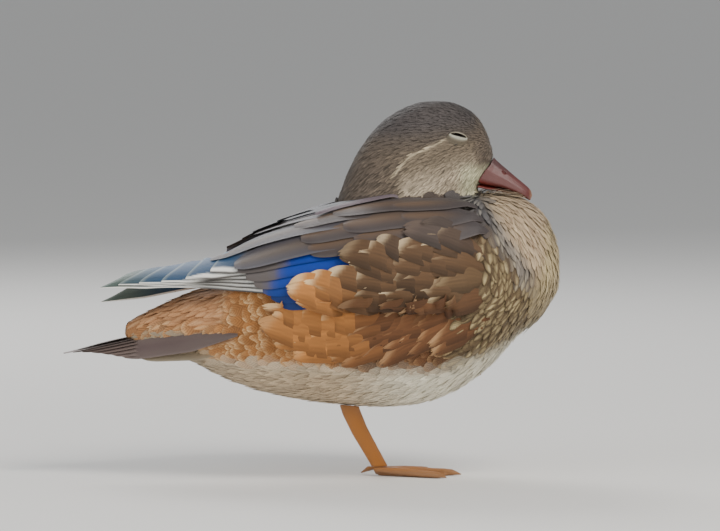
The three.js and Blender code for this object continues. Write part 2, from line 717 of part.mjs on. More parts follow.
// Assembly
const materials = {
  plumage: new THREE.MeshStandardMaterial({ color: 0x7a6248, roughness: 0.9, metalness: 0 }),
  head: new THREE.MeshStandardMaterial({ color: 0x6b6358, roughness: 0.9, metalness: 0 }),
  bill: new THREE.MeshStandardMaterial({ color: 0xa8484a, roughness: 0.45, metalness: 0 }),
  eye: new THREE.MeshStandardMaterial({ color: 0x16120f, roughness: 0.1, metalness: 0 }),
  wing: new THREE.MeshStandardMaterial({ color: 0x4c5560, roughness: 0.7, metalness: 0 }),
  tail: new THREE.MeshStandardMaterial({ color: 0x77685e, roughness: 0.8, metalness: 0 }),
  leg: new THREE.MeshStandardMaterial({ color: 0xb8701e, roughness: 0.5, metalness: 0 }),
};

const duck = new THREE.Group();

function place(name, whole, material) {
  const mesh = new THREE.Mesh(toGeometry(largest(whole)), material);
  mesh.name = name;
  duck.add(mesh);
}

const body = bodyLoft(BODY_SIDES, 2);
const bodyGrown = bodyLoft(BODY_SIDES, 2, GAP);
const behind = block([-FAR, -FAR, -FAR], [TAIL_PLANE_X, FAR, FAR]);
const behindTail = block([-FAR, -FAR, -FAR], [TAIL_PLANE_X - GAP, FAR, FAR]);
const hood = hoodLoft(HOOD_SIDES, HOOD_LEVELS);
const hoodGrown = hoodLoft(HOOD_SIDES, HOOD_LEVELS, GAP);
const headSide = above(NAPE, THROAT);
const headSideGrown = above([NAPE[0], NAPE[1] - GAP], [THROAT[0], THROAT[1] - GAP]);

const lowerBill = billLoft(LOWER_BILL, 12, 2).subtract(hoodGrown);
const lowerBillGrown = billLoft(LOWER_BILL, 12, 2, GAP);
const upperBill = billLoft(UPPER_BILL, 14, 2).subtract(hoodGrown).subtract(lowerBillGrown);
const upperBillGrown = billLoft(UPPER_BILL, 14, 2, GAP);
const eyeGrown = (side) => eyeball(side, EYE.radius + GAP);

const trunk = body.subtract(behind).subtract(lowerBillGrown).subtract(upperBillGrown);
place("torso", join([trunk, flanks(RIGHT), flanks(LEFT)]), materials.plumage);
place("neck", hood.subtract(headSideGrown).subtract(bodyGrown), materials.head);
const lidded = [RIGHT, LEFT].reduce(
  (whole, side) => whole.add(eyeOval(side, LID)).subtract(eyeGrown(side)).subtract(eyeOval(side, SLIT)),
  hood.intersect(headSide).subtract(bodyGrown),
);
place("head", lidded, materials.head);
place("bill_upper", upperBill.subtract(nostril(RIGHT)).subtract(nostril(LEFT)), materials.bill);
place("bill_lower", lowerBill, materials.bill);
place("eye_right", eyeball(RIGHT, EYE.radius), materials.eye);
place("eye_left", eyeball(LEFT, EYE.radius), materials.eye);

const tailWhole = largest(body.intersect(behindTail).add(tailFan().intersect(behindTail)));
place("tail", tailWhole, materials.tail);
for (const [name, side] of [["wing_right", RIGHT], ["wing_left", LEFT]]) {
  const neighbours = [bodyGrown, hoodGrown, flanks(side, GAP), tailWhole];
  const clear = neighbours.reduce((whole, near) => whole.subtract(near), wing(side));
  place(name, clear, materials.wing);
}
const ankleCut = block([-FAR, -FAR, -FAR], [FAR, FAR, ANKLE_CUT_Z]);
const ankleCutGrown = block([-FAR, -FAR, ANKLE_CUT_Z - GAP], [FAR, FAR, FAR]);
place("leg_right", standingLeg().subtract(bodyGrown).subtract(ankleCut), materials.leg);
place("foot_right", standingFoot().subtract(ankleCutGrown), materials.leg);
const beforeCut = block([TUCKED_CUT_X, -FAR, -FAR], [FAR, FAR, FAR]);
const afterCut = block([-FAR, -FAR, -FAR], [TUCKED_CUT_X + GAP, FAR, FAR]);
place("leg_left", tuckedLeg().subtract(bodyGrown).subtract(beforeCut), materials.leg);
place("foot_left", tuckedFoot().subtract(bodyGrown).subtract(afterCut), materials.leg);

export default duck;
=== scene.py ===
import math
from itertools import product

import bmesh
import bpy
import numpy as np
from mathutils import Matrix, Vector
from mathutils.bvhtree import BVHTree


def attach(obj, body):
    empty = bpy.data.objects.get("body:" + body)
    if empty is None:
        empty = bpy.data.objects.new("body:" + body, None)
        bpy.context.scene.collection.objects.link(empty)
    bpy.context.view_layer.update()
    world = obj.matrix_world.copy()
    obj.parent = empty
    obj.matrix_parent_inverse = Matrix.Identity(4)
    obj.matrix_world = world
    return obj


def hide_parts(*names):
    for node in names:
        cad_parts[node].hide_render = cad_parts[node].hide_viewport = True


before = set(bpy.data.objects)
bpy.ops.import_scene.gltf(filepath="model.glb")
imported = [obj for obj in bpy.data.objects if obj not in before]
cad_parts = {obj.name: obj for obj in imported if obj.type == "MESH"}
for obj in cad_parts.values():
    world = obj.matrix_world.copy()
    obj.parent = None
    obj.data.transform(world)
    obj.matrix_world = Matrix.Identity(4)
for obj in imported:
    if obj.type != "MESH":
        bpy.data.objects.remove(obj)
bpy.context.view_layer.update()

MM = 0.001
RIGHT, LEFT = -1, 1
SIDE_NAMES = {RIGHT: "right", LEFT: "left"}
RNG = np.random.default_rng(7)

# Body with plumage: x, top, bottom, half width, level of the widest point, squareness above and below.
BODY = np.array([
    [100.4, 121, 116, 4, 118.5, 2.0, 2.0],
    [99.2, 130.5, 108, 15, 119, 2.0, 2.0],
    [96, 141, 101.5, 25, 119, 2.1, 2.0],
    [91, 151, 93.5, 33.5, 118, 2.2, 2.0],
    [84, 157.5, 86.8, 41, 115, 2.3, 2.1],
    [74, 162.8, 78.5, 48, 112, 2.4, 2.2],
    [60, 164.5, 62.8, 54, 108, 2.5, 2.3],
    [42, 161.5, 49.5, 57.5, 104, 2.5, 2.3],
    [22, 157.5, 41.8, 59, 101, 2.5, 2.3],
    [0, 154.5, 39.4, 59.5, 99, 2.4, 2.3],
    [-25, 148.5, 40.8, 58, 98, 2.3, 2.3],
    [-50, 139, 43.8, 52.5, 97, 2.2, 2.2],
    [-75, 126, 49.3, 43, 95, 2.1, 2.1],
    [-95, 113, 57, 33, 91, 2.0, 2.0],
    [-112, 106.5, 65.6, 25, 88, 2.0, 2.0],
    [-128, 99.5, 70, 16, 87, 2.0, 2.0],
    [-142, 92.5, 74.5, 9, 84, 2.0, 2.0],
    [-150, 87, 79.5, 3, 83, 2.0, 2.0],
])

# Head and neck: z, front, back, x of the widest point, half width.
HOOD = np.array([
    [215.2, 34, 28, 31, 1.5],
    [214.6, 38.5, 20.5, 30, 8],
    [213, 43.5, 14.5, 28.5, 12],
    [209.5, 50.3, 6.5, 26, 16],
    [204, 55.5, -1.5, 24, 19],
    [197, 59.3, -8.3, 22, 20.8],
    [190, 61.8, -13.5, 20, 21.5],
    [184, 62.8, -17.3, 18, 21.8],
    [178, 61, -20.3, 16, 22.2],
    [172, 57.5, -23, 14, 22.5],
    [166, 54, -25.2, 12, 23],
    [160, 52, -27.3, 10, 24.5],
    [150, 50, -30.5, 8, 28],
])
HOOD_FRONT_POWER = 1.9
HOOD_BACK_POWER = 2.2

# Outside of the folded wings: x, top, level of the lower edge, half width, squareness.
WING_SHAPE = np.array([
    [75, 157, 112, 47, 2.4],
    [60, 162.5, 110, 56, 2.6],
    [42, 164.6, 107, 62.5, 2.5],
    [22, 164.8, 104, 65, 2.5],
    [0, 163.8, 103, 66, 2.5],
    [-27, 159.5, 102.5, 65, 2.4],
    [-50, 152, 102.5, 60.5, 2.3],
    [-73, 142.5, 103, 53.5, 2.1],
    [-95, 130.8, 104, 43, 2.0],
    [-118, 123.5, 106, 31, 2.0],
    [-135, 120.6, 107.5, 23, 2.0],
    [-150, 117, 108, 15.5, 2.0],
    [-166, 110.5, 108, 8, 2.0],
])
LEFT_DROOP = 9  # the left wing's tip hangs this much lower
MIDLINE = 0.4  # how far the wings' feathers keep from the middle plane
COAT_DEPTH = 1.6  # how far the skin lies under the outline in the tables


# Reading the tables
def dense(rows, steps=24):
    """The table's rows joined by a smooth curve, rising in its first column."""
    out = []
    last = len(rows) - 1
    for i in range(last):
        a, b = rows[max(i - 1, 0)], rows[i]
        c, d = rows[i + 1], rows[min(i + 2, last)]
        for f in np.linspace(0, 1, steps, endpoint=False):
            slope_in, slope_out = (c - a) / 2, (d - b) / 2
            rise = c - b
            cubic = slope_in + slope_out - 2 * rise
            square = 3 * rise - 2 * slope_in - slope_out
            out.append(b + f * (slope_in + f * (square + f * cubic)))
    out.append(rows[last])
    return np.array(out)[::-1]


BODY_FINE, HOOD_FINE, WING_FINE = dense(BODY), dense(HOOD), dense(WING_SHAPE)


def read(table, value):
    return [np.interp(value, table[:, 0], table[:, k]) for k in range(1, table.shape[1])]


def side_view(p):
    return p[:, 0], p[:, 2]


def power(value, n):
    return np.sign(value) * np.abs(value) ** (2 / n)


def smooth(value, low, high):
    t = np.clip((np.asarray(value, float) - low) / (high - low), 0, 1)
    return t * t * (3 - 2 * t)


def fall(value, low, high):
    return 1 - smooth(value, low, high)


def ramp(value, low, high):
    return float(smooth(value, low, high))


def band(value, low, high, soft):
    return smooth(value, low - soft, low + soft) * fall(value, high - soft, high + soft)


def mix(a, b, share):
    return np.asarray(a) * (1 - share) + np.asarray(b) * share


# Meshes
def add_to_scene(thing):
    bpy.context.scene.collection.objects.link(thing)


def shade_smooth(mesh):
    mesh.polygons.foreach_set("use_smooth", [True] * len(mesh.polygons))


def new_mesh(name, verts, faces, material, slot):
    mesh = bpy.data.meshes.new(name)
    mesh.from_pydata((np.asarray(verts) * MM).tolist(), [], [tuple(f) for f in faces])
    shade_smooth(mesh)
    mesh.materials.append(material)
    thing = bpy.data.objects.new(name, mesh)
    add_to_scene(thing)
    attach(thing, "root")
    return thing


def grid_faces(rows, columns, closed=False):
    faces = []
    for i in range(rows - 1):
        for j in range(columns if closed else columns - 1):
            a, b = i * columns + j, i * columns + (j + 1) % columns
            faces.append((a, b, b + columns, a + columns))
    return faces


def loft(rings):
    """Closed surface through rings, each an array of points."""
    rings = [np.asarray(r) for r in rings]
    around = len(rings[0])
    faces = grid_faces(len(rings), around, closed=True)
    faces.append(tuple(range(around))[::-1])
    faces.append(tuple(range((len(rings) - 1) * around, len(rings) * around)))
    return np.concatenate(rings), faces


def mesh_points(mesh):
    points = np.empty(len(mesh.vertices) * 3)
    mesh.vertices.foreach_get("co", points)
    return points.reshape(-1, 3) / MM


def rounded(thing, voxel, factor, rounds, material):
    """Makes the thing's mesh even and soft, in one material, and gives its points back."""
    remesh = thing.modifiers.new("even", "REMESH")
    remesh.mode = "VOXEL"
    remesh.voxel_size = voxel * MM
    soften = thing.modifiers.new("soft", "SMOOTH")
    soften.factor = factor
    soften.iterations = rounds
    graph = bpy.context.evaluated_depsgraph_get()
    fine = bpy.data.meshes.new_from_object(thing.evaluated_get(graph))
    thing.modifiers.clear()
    thing.data = fine
    fine.materials.clear()
    fine.materials.append(material)
    shade_smooth(fine)
    return mesh_points(fine)


def set_tint(thing, colours):
    """One colour for each vertex, read by the shaders."""
    layer = thing.data.color_attributes.new("Tint", "FLOAT_COLOR", "POINT")
    rgba = np.ones((len(thing.data.vertices), 4))
    rgba[:, :3] = colours
    layer.data.foreach_set("color", rgba.ravel())


def set_uv(thing, name, per_vertex):
    layer = thing.data.uv_layers.new(name=name)
    loops = np.empty(len(thing.data.loops), dtype=np.int32)
    thing.data.loops.foreach_get("vertex_index", loops)
    layer.data.foreach_set("uv", np.asarray(per_vertex)[loops].ravel())


# Materials
def node(tree, kind, inputs=None, **settings):
    made = tree.nodes.new(kind)
    for key, value in settings.items():
        setattr(made, key, value)
    for key, value in (inputs or {}).items():
        if isinstance(value, bpy.types.NodeSocket):
            tree.links.new(value, made.inputs[key])
        else:
            made.inputs[key].default_value = value
    return made


def new_material(name):
    material = bpy.data.materials.new(name)
    material.use_nodes = True
    return material, material.node_tree, material.node_tree.nodes["Principled BSDF"]


def arith(tree, operation, *values):
    return node(tree, "ShaderNodeMath", dict(enumerate(values)), operation=operation).outputs[0]


def shade_tint(tree, shader, amount, reach, shades):
    """The vertex colour, times a shade that follows the amount."""
    tint = node(tree, "ShaderNodeVertexColor", layer_name="Tint").outputs["Color"]
    steps = dict(enumerate((amount, *reach, *shades)))
    shade = node(tree, "ShaderNodeMapRange", steps).outputs[0]
    factor = node(tree, "ShaderNodeCombineXYZ", {k: shade for k in range(3)}).outputs[0]
    colour = node(tree, "ShaderNodeVectorMath", {0: tint, 1: factor}, operation="MULTIPLY")
    tree.links.new(colour.outputs[0], shader.inputs["Base Color"])


def add_relief(tree, shader, strength, distance, height):
    bump = node(tree, "ShaderNodeBump", {"Strength": strength, "Distance": distance, "Height": height})
    tree.links.new(bump.outputs[0], shader.inputs["Normal"])


BARB_SLANT = 0.55  # how far barbs lean to the tip


def feather_material(name, barbs=60.0, sheen=0.06, roughness=0.72, contrast=0.3, depth=0.25):
    """Fine barbs slanting from the shaft, which the Vane map lays out."""
    material, tree, shader = new_material(name)
    uv = node(tree, "ShaderNodeUVMap", uv_map="Vane").outputs["UV"]
    split = node(tree, "ShaderNodeSeparateXYZ", {0: uv}).outputs
    reach = arith(tree, "ABSOLUTE", arith(tree, "SUBTRACT", split["X"], 0.5))
    slant = arith(tree, "MULTIPLY_ADD", reach, -BARB_SLANT, split["Y"])
    wave = arith(tree, "SINE", arith(tree, "MULTIPLY", slant, barbs))
    noise = node(tree, "ShaderNodeTexNoise", {"Scale": 420.0, "Detail": 3.0, "Roughness": 0.6})
    rough = arith(tree, "MULTIPLY_ADD", noise.outputs["Fac"], 0.9, wave)
    shade_tint(tree, shader, rough, (-1.0, 1.8), (1 - contrast, 1 + contrast * 0.6))
    add_relief(tree, shader, depth, 0.0003, rough)
    shader.inputs["Roughness"].default_value = roughness
    shader.inputs["Sheen Weight"].default_value = sheen
    shader.inputs["Sheen Roughness"].default_value = 0.5
    shader.inputs["Specular IOR Level"].default_value = 0.3
    return material


SCALE_SEAM = 0.12  # width of a seam, against a scale's size


def horn_material(name, roughness, coat, bump_scale, bump_depth, cells=False):
    """Horn or scaly skin under a thin gloss, with mottling and fine relief."""
    material, tree, shader = new_material(name)
    mottle = node(tree, "ShaderNodeTexNoise", {"Scale": 180.0, "Detail": 5.0}).outputs["Fac"]
    shade_tint(tree, shader, mottle, (0.3, 0.7), (0.8, 1.15))
    if cells:
        scales = node(tree, "ShaderNodeTexVoronoi", {"Scale": bump_scale}, feature="DISTANCE_TO_EDGE")
        steps = dict(enumerate((scales.outputs["Distance"], 0.0, SCALE_SEAM, 0.0, 1.0)))
        height = node(tree, "ShaderNodeMapRange", steps).outputs[0]
    else:
        height = node(tree, "ShaderNodeTexNoise", {"Scale": bump_scale, "Detail": 4.0}).outputs["Fac"]
    add_relief(tree, shader, bump_depth, 0.0004, height)
    shader.inputs["Roughness"].default_value = roughness
    shader.inputs["Coat Weight"].default_value = coat
    shader.inputs["Coat Roughness"].default_value = 0.2
    return material


PLUMAGE = feather_material("contour_feathers", barbs=55.0)
HEAD_PLUMAGE = feather_material("head_feathers", barbs=30.0, sheen=0.08, roughness=0.66, contrast=0.22)
FLIGHT = feather_material(
    "flight_feathers", barbs=330.0, sheen=0.05, roughness=0.5, contrast=0.14, depth=0.18
)
BROAD_FEATHERS = feather_material("flank_feathers", barbs=430.0, contrast=0.12, depth=0.12)
SKIN = feather_material("down", barbs=10.0)
HORN = horn_material("bill_horn", 0.46, 0.12, 260.0, 0.22)
SCALES = horn_material("leg_scales", 0.45, 0.2, 620.0, 0.6, cells=True)
LID = horn_material("eyelid_skin", 0.5, 0.15, 900.0, 0.35)


def eye_material():
    material, _, shader = new_material("eye_gloss")
    shader.inputs["Base Color"].default_value = (0.012, 0.009, 0.008, 1)
    shader.inputs["Roughness"].default_value = 0.06
    shader.inputs["Coat Weight"].default_value = 1.0
    shader.inputs["Coat Roughness"].default_value = 0.03
    return material


EYE_GLOSS = eye_material()


# The colours of the plumage, for each place in the side view
CREAM = (0.54, 0.43, 0.22)
WHITE = (0.90, 0.85, 0.68)
OLIVE = (0.088, 0.056, 0.026)
BROWN = (0.088, 0.046, 0.020)
DARK = (0.050, 0.036, 0.030)
SLATE = (0.060, 0.051, 0.050)
GREY = (0.118, 0.090, 0.064)
GOLD = (0.37, 0.148, 0.038)
# Kinds of mark on a small feather
PLAIN, DROP, STREAK, PALE_TIP = 0, 1, 2, 3


def body_colours(p):
    """Ground colour, mark colour and kind of mark for each root."""
    x, z = side_view(p)
    ground = np.tile(OLIVE, (len(p), 1)).astype(float)
    mark = np.tile(CREAM, (len(p), 1)).astype(float)
    kind = np.full(len(p), DROP)

    def paint(share, colour, mark_colour=None, new_kind=None):
        nonlocal ground, mark
        s = np.clip(share, 0, 1)[:, None]
        ground = mix(ground, colour, s)
        if mark_colour is not None:
            mark = mix(mark, mark_colour, s)
        if new_kind is not None:
            kind[s[:, 0] > 0.5] = new_kind

    breast_low = 66 + 0.55 * np.clip(x - 42, 0, 60)
    paint(fall(x - 0.3 * (z - 95), 24, 48) * smooth(z, 70, 84), BROWN, (0.60, 0.46, 0.28), PALE_TIP)
    low_flank = fall(x, 34, 52) * fall(z, 88, 104)
    paint(low_flank, (0.120, 0.048, 0.017), (0.38, 0.21, 0.095), PALE_TIP)
    golden = fall(x + 0.35 * (z - 90), -34, -8) * smooth(z, 58, 70)
    paint(golden, GOLD, (0.84, 0.57, 0.29), PALE_TIP)
    belly = fall(z, breast_low - 5, breast_low + 7)
    paint(belly, WHITE, (0.56, 0.50, 0.38), STREAK)
    paint(belly * fall(x, -25, 30), (0.66, 0.51, 0.33), (0.24, 0.17, 0.11), STREAK)
    under_tail = fall(x, -105, -80) * fall(z, 82, 90)
    paint(under_tail, (0.40, 0.32, 0.21), (0.30, 0.23, 0.16), STREAK)
    upper_tail = fall(x, -92, -70) * smooth(z, 84, 94)
    paint(upper_tail, (0.45, 0.21, 0.09), (0.56, 0.31, 0.15), STREAK)
    back = smooth(z, 130, 142) * fall(x, 30, 55) * fall(-x, 80, 95)
    paint(back, DARK, (0.10, 0.07, 0.055), PLAIN)
    mantle = smooth(z, 145, 149) * smooth(x, -40, -20) * fall(x, 58, 66)
    paint(mantle, (0.070, 0.052, 0.042), (0.13, 0.10, 0.08), PLAIN)
    bib = smooth(x - 0.55 * (156 - z), 54, 62) * smooth(z, 118, 132)
    paint(bib, (0.56, 0.43, 0.28), (0.18, 0.105, 0.060), STREAK)
    # Front edge of the breast: the dark streaks are the feathers' own pattern, and the pale ground under
    # them is a painted highlight of the light from behind on this edge.
    rim = smooth(x, 85, 92) * smooth(z, 96, 112)
    paint(rim, (0.56, 0.45, 0.25), (0.13, 0.08, 0.040), STREAK)
    slate_band = band(x + 0.75 * (z - 118), 79, 88, 3) * smooth(z, 112, 124) * fall(x, 86, 92)
    paint(slate_band * 0.7, (0.105, 0.105, 0.115), (0.30, 0.28, 0.24), STREAK)
    # Painted shadow under the bill, on the breast feathers next to its base.
    shadow_under_bill = smooth(x, 50, 54) * fall(x, 64, 70) * smooth(z, 161, 164)
    paint(shadow_under_bill, (0.20, 0.145, 0.085), (0.30, 0.22, 0.13), STREAK)
    return ground, mark, kind


# The pale line that runs back and down from the eye
PALE_LINE_X = (7.5, 10.4, 17.3, 25.9, 35.7)
PALE_LINE_Z = (174.8, 180, 186.3, 189.8, 194.4)


def head_colours(p):
    x, z = side_view(p)
    ground = np.tile(GREY, (len(p), 1)).astype(float)

    def paint(share, colour):
        nonlocal ground
        ground = mix(ground, colour, np.clip(share, 0, 1)[:, None])

    paint(smooth(z - (x - 40) * 0.10, 188, 206) * 0.95, SLATE)
    paint(fall(x, -12, 12) * fall(z, 192, 204), (0.105, 0.080, 0.060))
    line = np.interp(x, PALE_LINE_X, PALE_LINE_Z)
    cheek = smooth(x, 8, 14) * smooth(line - z, 0, 2.2) * fall(x, 50, 58)
    paint(cheek * 0.9, (0.165, 0.128, 0.088))
    low_cheek = cheek * fall(z - 0.28 * (x - 30), 170, 186)
    paint(low_cheek * 0.85, (0.42, 0.345, 0.250))
    line_width = 0.9 + 0.5 * fall(x, 8, 24)
    paint(np.exp(-(((z - line) / line_width) ** 2)) * band(x, 7, 36, 1.5), (0.42, 0.345, 0.235))
    paint(smooth(x, 40, 50) * fall(z, 175, 184), (0.56, 0.54, 0.36))
    paint(smooth(x, 50, 56) * smooth(z, 178, 183) * 0.85, (0.115, 0.088, 0.066))
    # Painted shadow under the bill's base.
    paint(smooth(x, 51, 55) * fall(z, 167, 172), (0.20, 0.145, 0.085))
    return ground


# The skin
SKIN_VOXEL = 1.7
SKIN_SHADE = 0.6  # the skin is darker than the feathers that cover it
BODY_LEAST = 0.8  # least reach of a ring
HOOD_LEAST = 0.4


def body_rings(around=64, per_row=180):
    xs = np.linspace(BODY[0, 0], BODY[-1, 0], per_row)
    angles = np.linspace(0, 2 * np.pi, around, endpoint=False)
    rings = []
    for x in xs:
        top, bottom, width, level, n_top, n_low = read(BODY_FINE, x)
        n = np.where(np.sin(angles) >= 0, n_top, n_low)
        reach = np.where(np.sin(angles) >= 0, top - level, level - bottom) - COAT_DEPTH
        y = max(width - COAT_DEPTH, BODY_LEAST) * power(np.cos(angles), n)
        z = level + np.maximum(reach, BODY_LEAST) * power(np.sin(angles), n)
        rings.append(np.column_stack([np.full(around, x), y, z]))
    rings[0][:, 0] -= COAT_DEPTH
    rings[-1][:, 0] += COAT_DEPTH
    return rings


def hood_rings(around=56, per_row=70):
    zs = HOOD[-1, 0] + (HOOD[0, 0] - HOOD[-1, 0]) * np.sin(np.linspace(0, np.pi / 2, per_row))
    angles = np.linspace(0, 2 * np.pi, around, endpoint=False)
    rings = []
    for z in zs[::-1]:
        front, back, wide, width = read(HOOD_FINE, z)
        forward = np.cos(angles) >= 0
        n = np.where(forward, HOOD_FRONT_POWER, HOOD_BACK_POWER)
        reach = np.maximum(np.where(forward, front - wide, wide - back) - COAT_DEPTH * 0.5, HOOD_LEAST)
        x = wide + reach * power(np.cos(angles), n)
        y = max(width - COAT_DEPTH * 0.5, HOOD_LEAST) * power(np.sin(angles), n)
        rings.append(np.column_stack([x, y, np.full(around, z)]))
    rings[0][:, 2] -= COAT_DEPTH * 0.5
    return rings


def skin_map(p):
    """An unwrap of the skin's own shape: along the bird, and round it."""
    x, y, z = p[:, 0], p[:, 1], p[:, 2]
    level = np.interp(x, BODY_FINE[:, 0], BODY_FINE[:, 4])
    around = np.arctan2(z - level, y) / (2 * np.pi) + 0.5
    on_hood = (z > 162) & (x > -32) & (x < 66)
    middle = np.interp(z, HOOD_FINE[:, 0], HOOD_FINE[:, 3])
    turn = np.arctan2(y, x - middle) / (2 * np.pi) + 0.5
    body_uv = np.column_stack([0.02 + 0.60 * (x + 190) / 300, 0.02 + 0.95 * around])
    hood_uv = np.column_stack([0.66 + 0.32 * (z - 150) / 70, 0.02 + 0.95 * turn])
    return np.where(on_hood[:, None], hood_uv, body_uv)


def make_skin():
    pieces = [loft(body_rings()), loft(hood_rings())]
    verts = np.concatenate([v for v, _ in pieces])
    faces = list(pieces[0][1])
    shift = len(pieces[0][0])
    faces += [tuple(i + shift for i in f) for f in pieces[1][1]]
    skin = new_mesh("skin", verts, faces, SKIN, "body_plumage")
    points = rounded(skin, SKIN_VOXEL, 0.6, 6, SKIN)
    ground, _, _ = body_colours(points)
    x, z = side_view(points)
    on_head = smooth(z, 158, 168) * smooth(x, -34, -26) * fall(x, 62, 68)
    set_tint(skin, mix(ground, head_colours(points), on_head[:, None]) * SKIN_SHADE)
    set_uv(skin, "OFBake", skin_map(points))
    set_uv(skin, "Vane", skin_map(points) * 40)
    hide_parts("torso", "neck", "head")
    return skin


def surface_tree(thing):
    mesh = bmesh.new()
    mesh.from_mesh(thing.data)
    tree = BVHTree.FromBMesh(mesh)
    mesh.free()
    return tree


# Scattering feathers over the skin
def sample_surface(thing, count):
    """Random places all over a mesh, with the way out at each."""
    mesh = thing.data
    mesh.calc_loop_triangles()
    points = mesh_points(mesh)
    tris = np.empty(len(mesh.loop_triangles) * 3, dtype=np.int64)
    mesh.loop_triangles.foreach_get("vertices", tris)
    a, b, c = (points[tris.reshape(-1, 3)[:, k]] for k in range(3))
    cross = np.cross(b - a, c - a)
    area = np.linalg.norm(cross, axis=1) / 2
    chosen = RNG.choice(len(area), size=count, p=area / area.sum())
    u, v = RNG.random((2, count))
    flip = u + v > 1
    u, v = np.where(flip, 1 - u, u), np.where(flip, 1 - v, v)
    at = a[chosen] + (b - a)[chosen] * u[:, None] + (c - a)[chosen] * v[:, None]
    return at, cross[chosen] / (2 * area[chosen])[:, None]


def thin_out(points, spacing):
    """Keeps points that lie at least their own spacing from those kept before."""
    cell = float(spacing.max())
    shelves = {}
    kept = []
    keys = np.floor(points / cell).astype(int)
    for i in range(len(points)):
        kx, ky, kz = keys[i]
        near = [
            j
            for dx, dy, dz in product((-1, 0, 1), repeat=3)
            for j in shelves.get((kx + dx, ky + dy, kz + dz), ())
        ]
        if near:
            gaps = points[near] - points[i]
            if (np.einsum("ij,ij->i", gaps, gaps) < spacing[i] ** 2).any():
                continue
        shelves.setdefault((kx, ky, kz), []).append(i)
        kept.append(i)
    return np.array(kept)


def unit(v):
    return v / np.maximum(np.linalg.norm(v, axis=-1, keepdims=True), 1e-9)


# Stations along a feather with the width at each, and stations across it.
BROAD = dict(
    along=[0, 0.35, 0.6, 0.78, 0.91, 1.0],
    width=[0.5, 0.95, 1.0, 0.86, 0.6, 0.2],
    across=[-1, -0.45, 0, 0.45, 1],
)
SOFT = dict(
    along=[0, 0.35, 0.65, 0.86, 1.0],
    width=[0.5, 0.9, 0.85, 0.5, 0.08],
    across=[-1, 0, 1],
)
FEATHER_CROWN = 0.16  # how far a feather's edges fall, against its half width
BAKE_PATCH = 0.003  # a feather's size in the OFBake map
DROP_AT, DROP_LENGTH = 0.76, 0.27  # along the feather


def contour_feathers(
    name, tree, roots, lies, lengths, widths, lift, ground, mark, kind, material, slot, form
):
    """Many small feathers in one mesh, each bent over the skin along its lie."""
    stations, widest, across_at = (np.array(form[k], float) for k in ("along", "width", "across"))
    rows, columns = len(stations), len(across_at)
    count = len(roots)
    verts = np.empty((count, rows, columns, 3))
    for i in range(count):
        at = Vector(roots[i] * MM)
        lie = lies[i]
        for k in range(rows):
            if k:
                step = (stations[k] - stations[k - 1]) * lengths[i] * MM
                at = at + Vector(lie) * step
            found, out, _, _ = tree.find_nearest(at)
            at = found
            out = np.array(out)
            lie = lie - out * float(lie @ out)
            lie = lie / max(np.linalg.norm(lie), 1e-9)
            across = np.cross(out, lie)
            half = widths[i] * widest[k]
            rise = lift[i] * (0.05 + 0.95 * stations[k] ** 0.8)
            bend = rise - FEATHER_CROWN * half * across_at**2
            verts[i, k] = np.array(found) / MM + np.outer(bend, out) + np.outer(across_at * half, across)
    cell = grid_faces(rows, columns)
    cells = [tuple(v + i * rows * columns for v in face) for i in range(count) for face in cell]
    thing = new_mesh(name, verts.reshape(-1, 3), cells, material, slot)

    along = np.broadcast_to(stations[None, :, None], (count, rows, columns))
    side = np.broadcast_to(across_at[None, None, :], (count, rows, columns))
    lean = RNG.normal(0, 0.28, (count, 1, 1))
    drop = np.exp(-(((along - DROP_AT) / DROP_LENGTH) ** 2)) * np.clip(1.1 - 1.9 * np.abs(side - lean), 0, 1)
    streak = np.clip(1 - 1.6 * np.abs(side), 0, 1) * smooth(along, 0.1, 0.5)
    tip = smooth(along, 0.72, 0.98) * (0.35 + 0.65 * np.abs(side))
    strength = RNG.uniform(0.05, 1.0, (count, 1, 1)) ** 0.8
    which = [kind[:, None, None] == k for k in (DROP, STREAK, PALE_TIP)]
    shares = strength * np.select(which, [drop, streak, tip], 0)
    vary = RNG.normal(1, 0.10, (count, 1, 1, 1))
    base = ground[:, None, None, :] * vary * (0.72 + 0.28 * along[..., None])
    tint = base * (1 - shares[..., None]) + mark[:, None, None, :] * shares[..., None]
    set_tint(thing, np.clip(tint, 0, 1).reshape(-1, 3))
    set_uv(thing, "Vane", np.column_stack([(side * 0.5 + 0.5).ravel(), along.ravel()]))
    place = skin_map(roots)[:, None, None, :]
    patch = np.stack([(side * 0.5), along - 0.5], axis=-1) * BAKE_PATCH
    set_uv(thing, "OFBake", (place + patch).reshape(-1, 2))
    return thing


def on_hood(p):
    rise = 161 + np.clip(p[:, 0] - 30, 0, 30) * 0.1
    return (p[:, 2] > rise) & (p[:, 0] > -33) & (p[:, 0] < 66)


EYE_X, EYE_Z = 41.4, 195.0
BARE_EYE = dict(x=EYE_X, z=194.9, long=5.2, high=3.0)  # the oval that feathers leave bare


def eye_clear(p):
    ahead = (p[:, 0] - BARE_EYE["x"]) / BARE_EYE["long"]
    above = (p[:, 2] - BARE_EYE["z"]) / BARE_EYE["high"]
    return np.hypot(ahead, above) > 1.0


BILL_ROOT = dict(front=55.5, half=7.0, low=168, high=182.5)  # where the bill leaves the head


def bill_clear(p):
    x, y, z = p[:, 0], p[:, 1], p[:, 2]
    inside = (np.abs(y) < BILL_ROOT["half"]) & (z > BILL_ROOT["low"]) & (z < BILL_ROOT["high"])
    return ~((x > BILL_ROOT["front"]) & inside)


NECK_ROOT = np.array([34.0, 0, 172.0])  # the breast's feathers spread out from here
BODY_SAMPLES = 110000
HEAD_SAMPLES = 260000
BREAST_X, RUMP_X = 45, -85  # where the body's coat is divided


def lie_along(normals, ways):
    """The ways feathers point, turned into the surface."""
    ways = ways + RNG.normal(0, 0.09, ways.shape)
    return unit(ways - normals * np.einsum("ij,ij->i", ways, normals)[:, None])


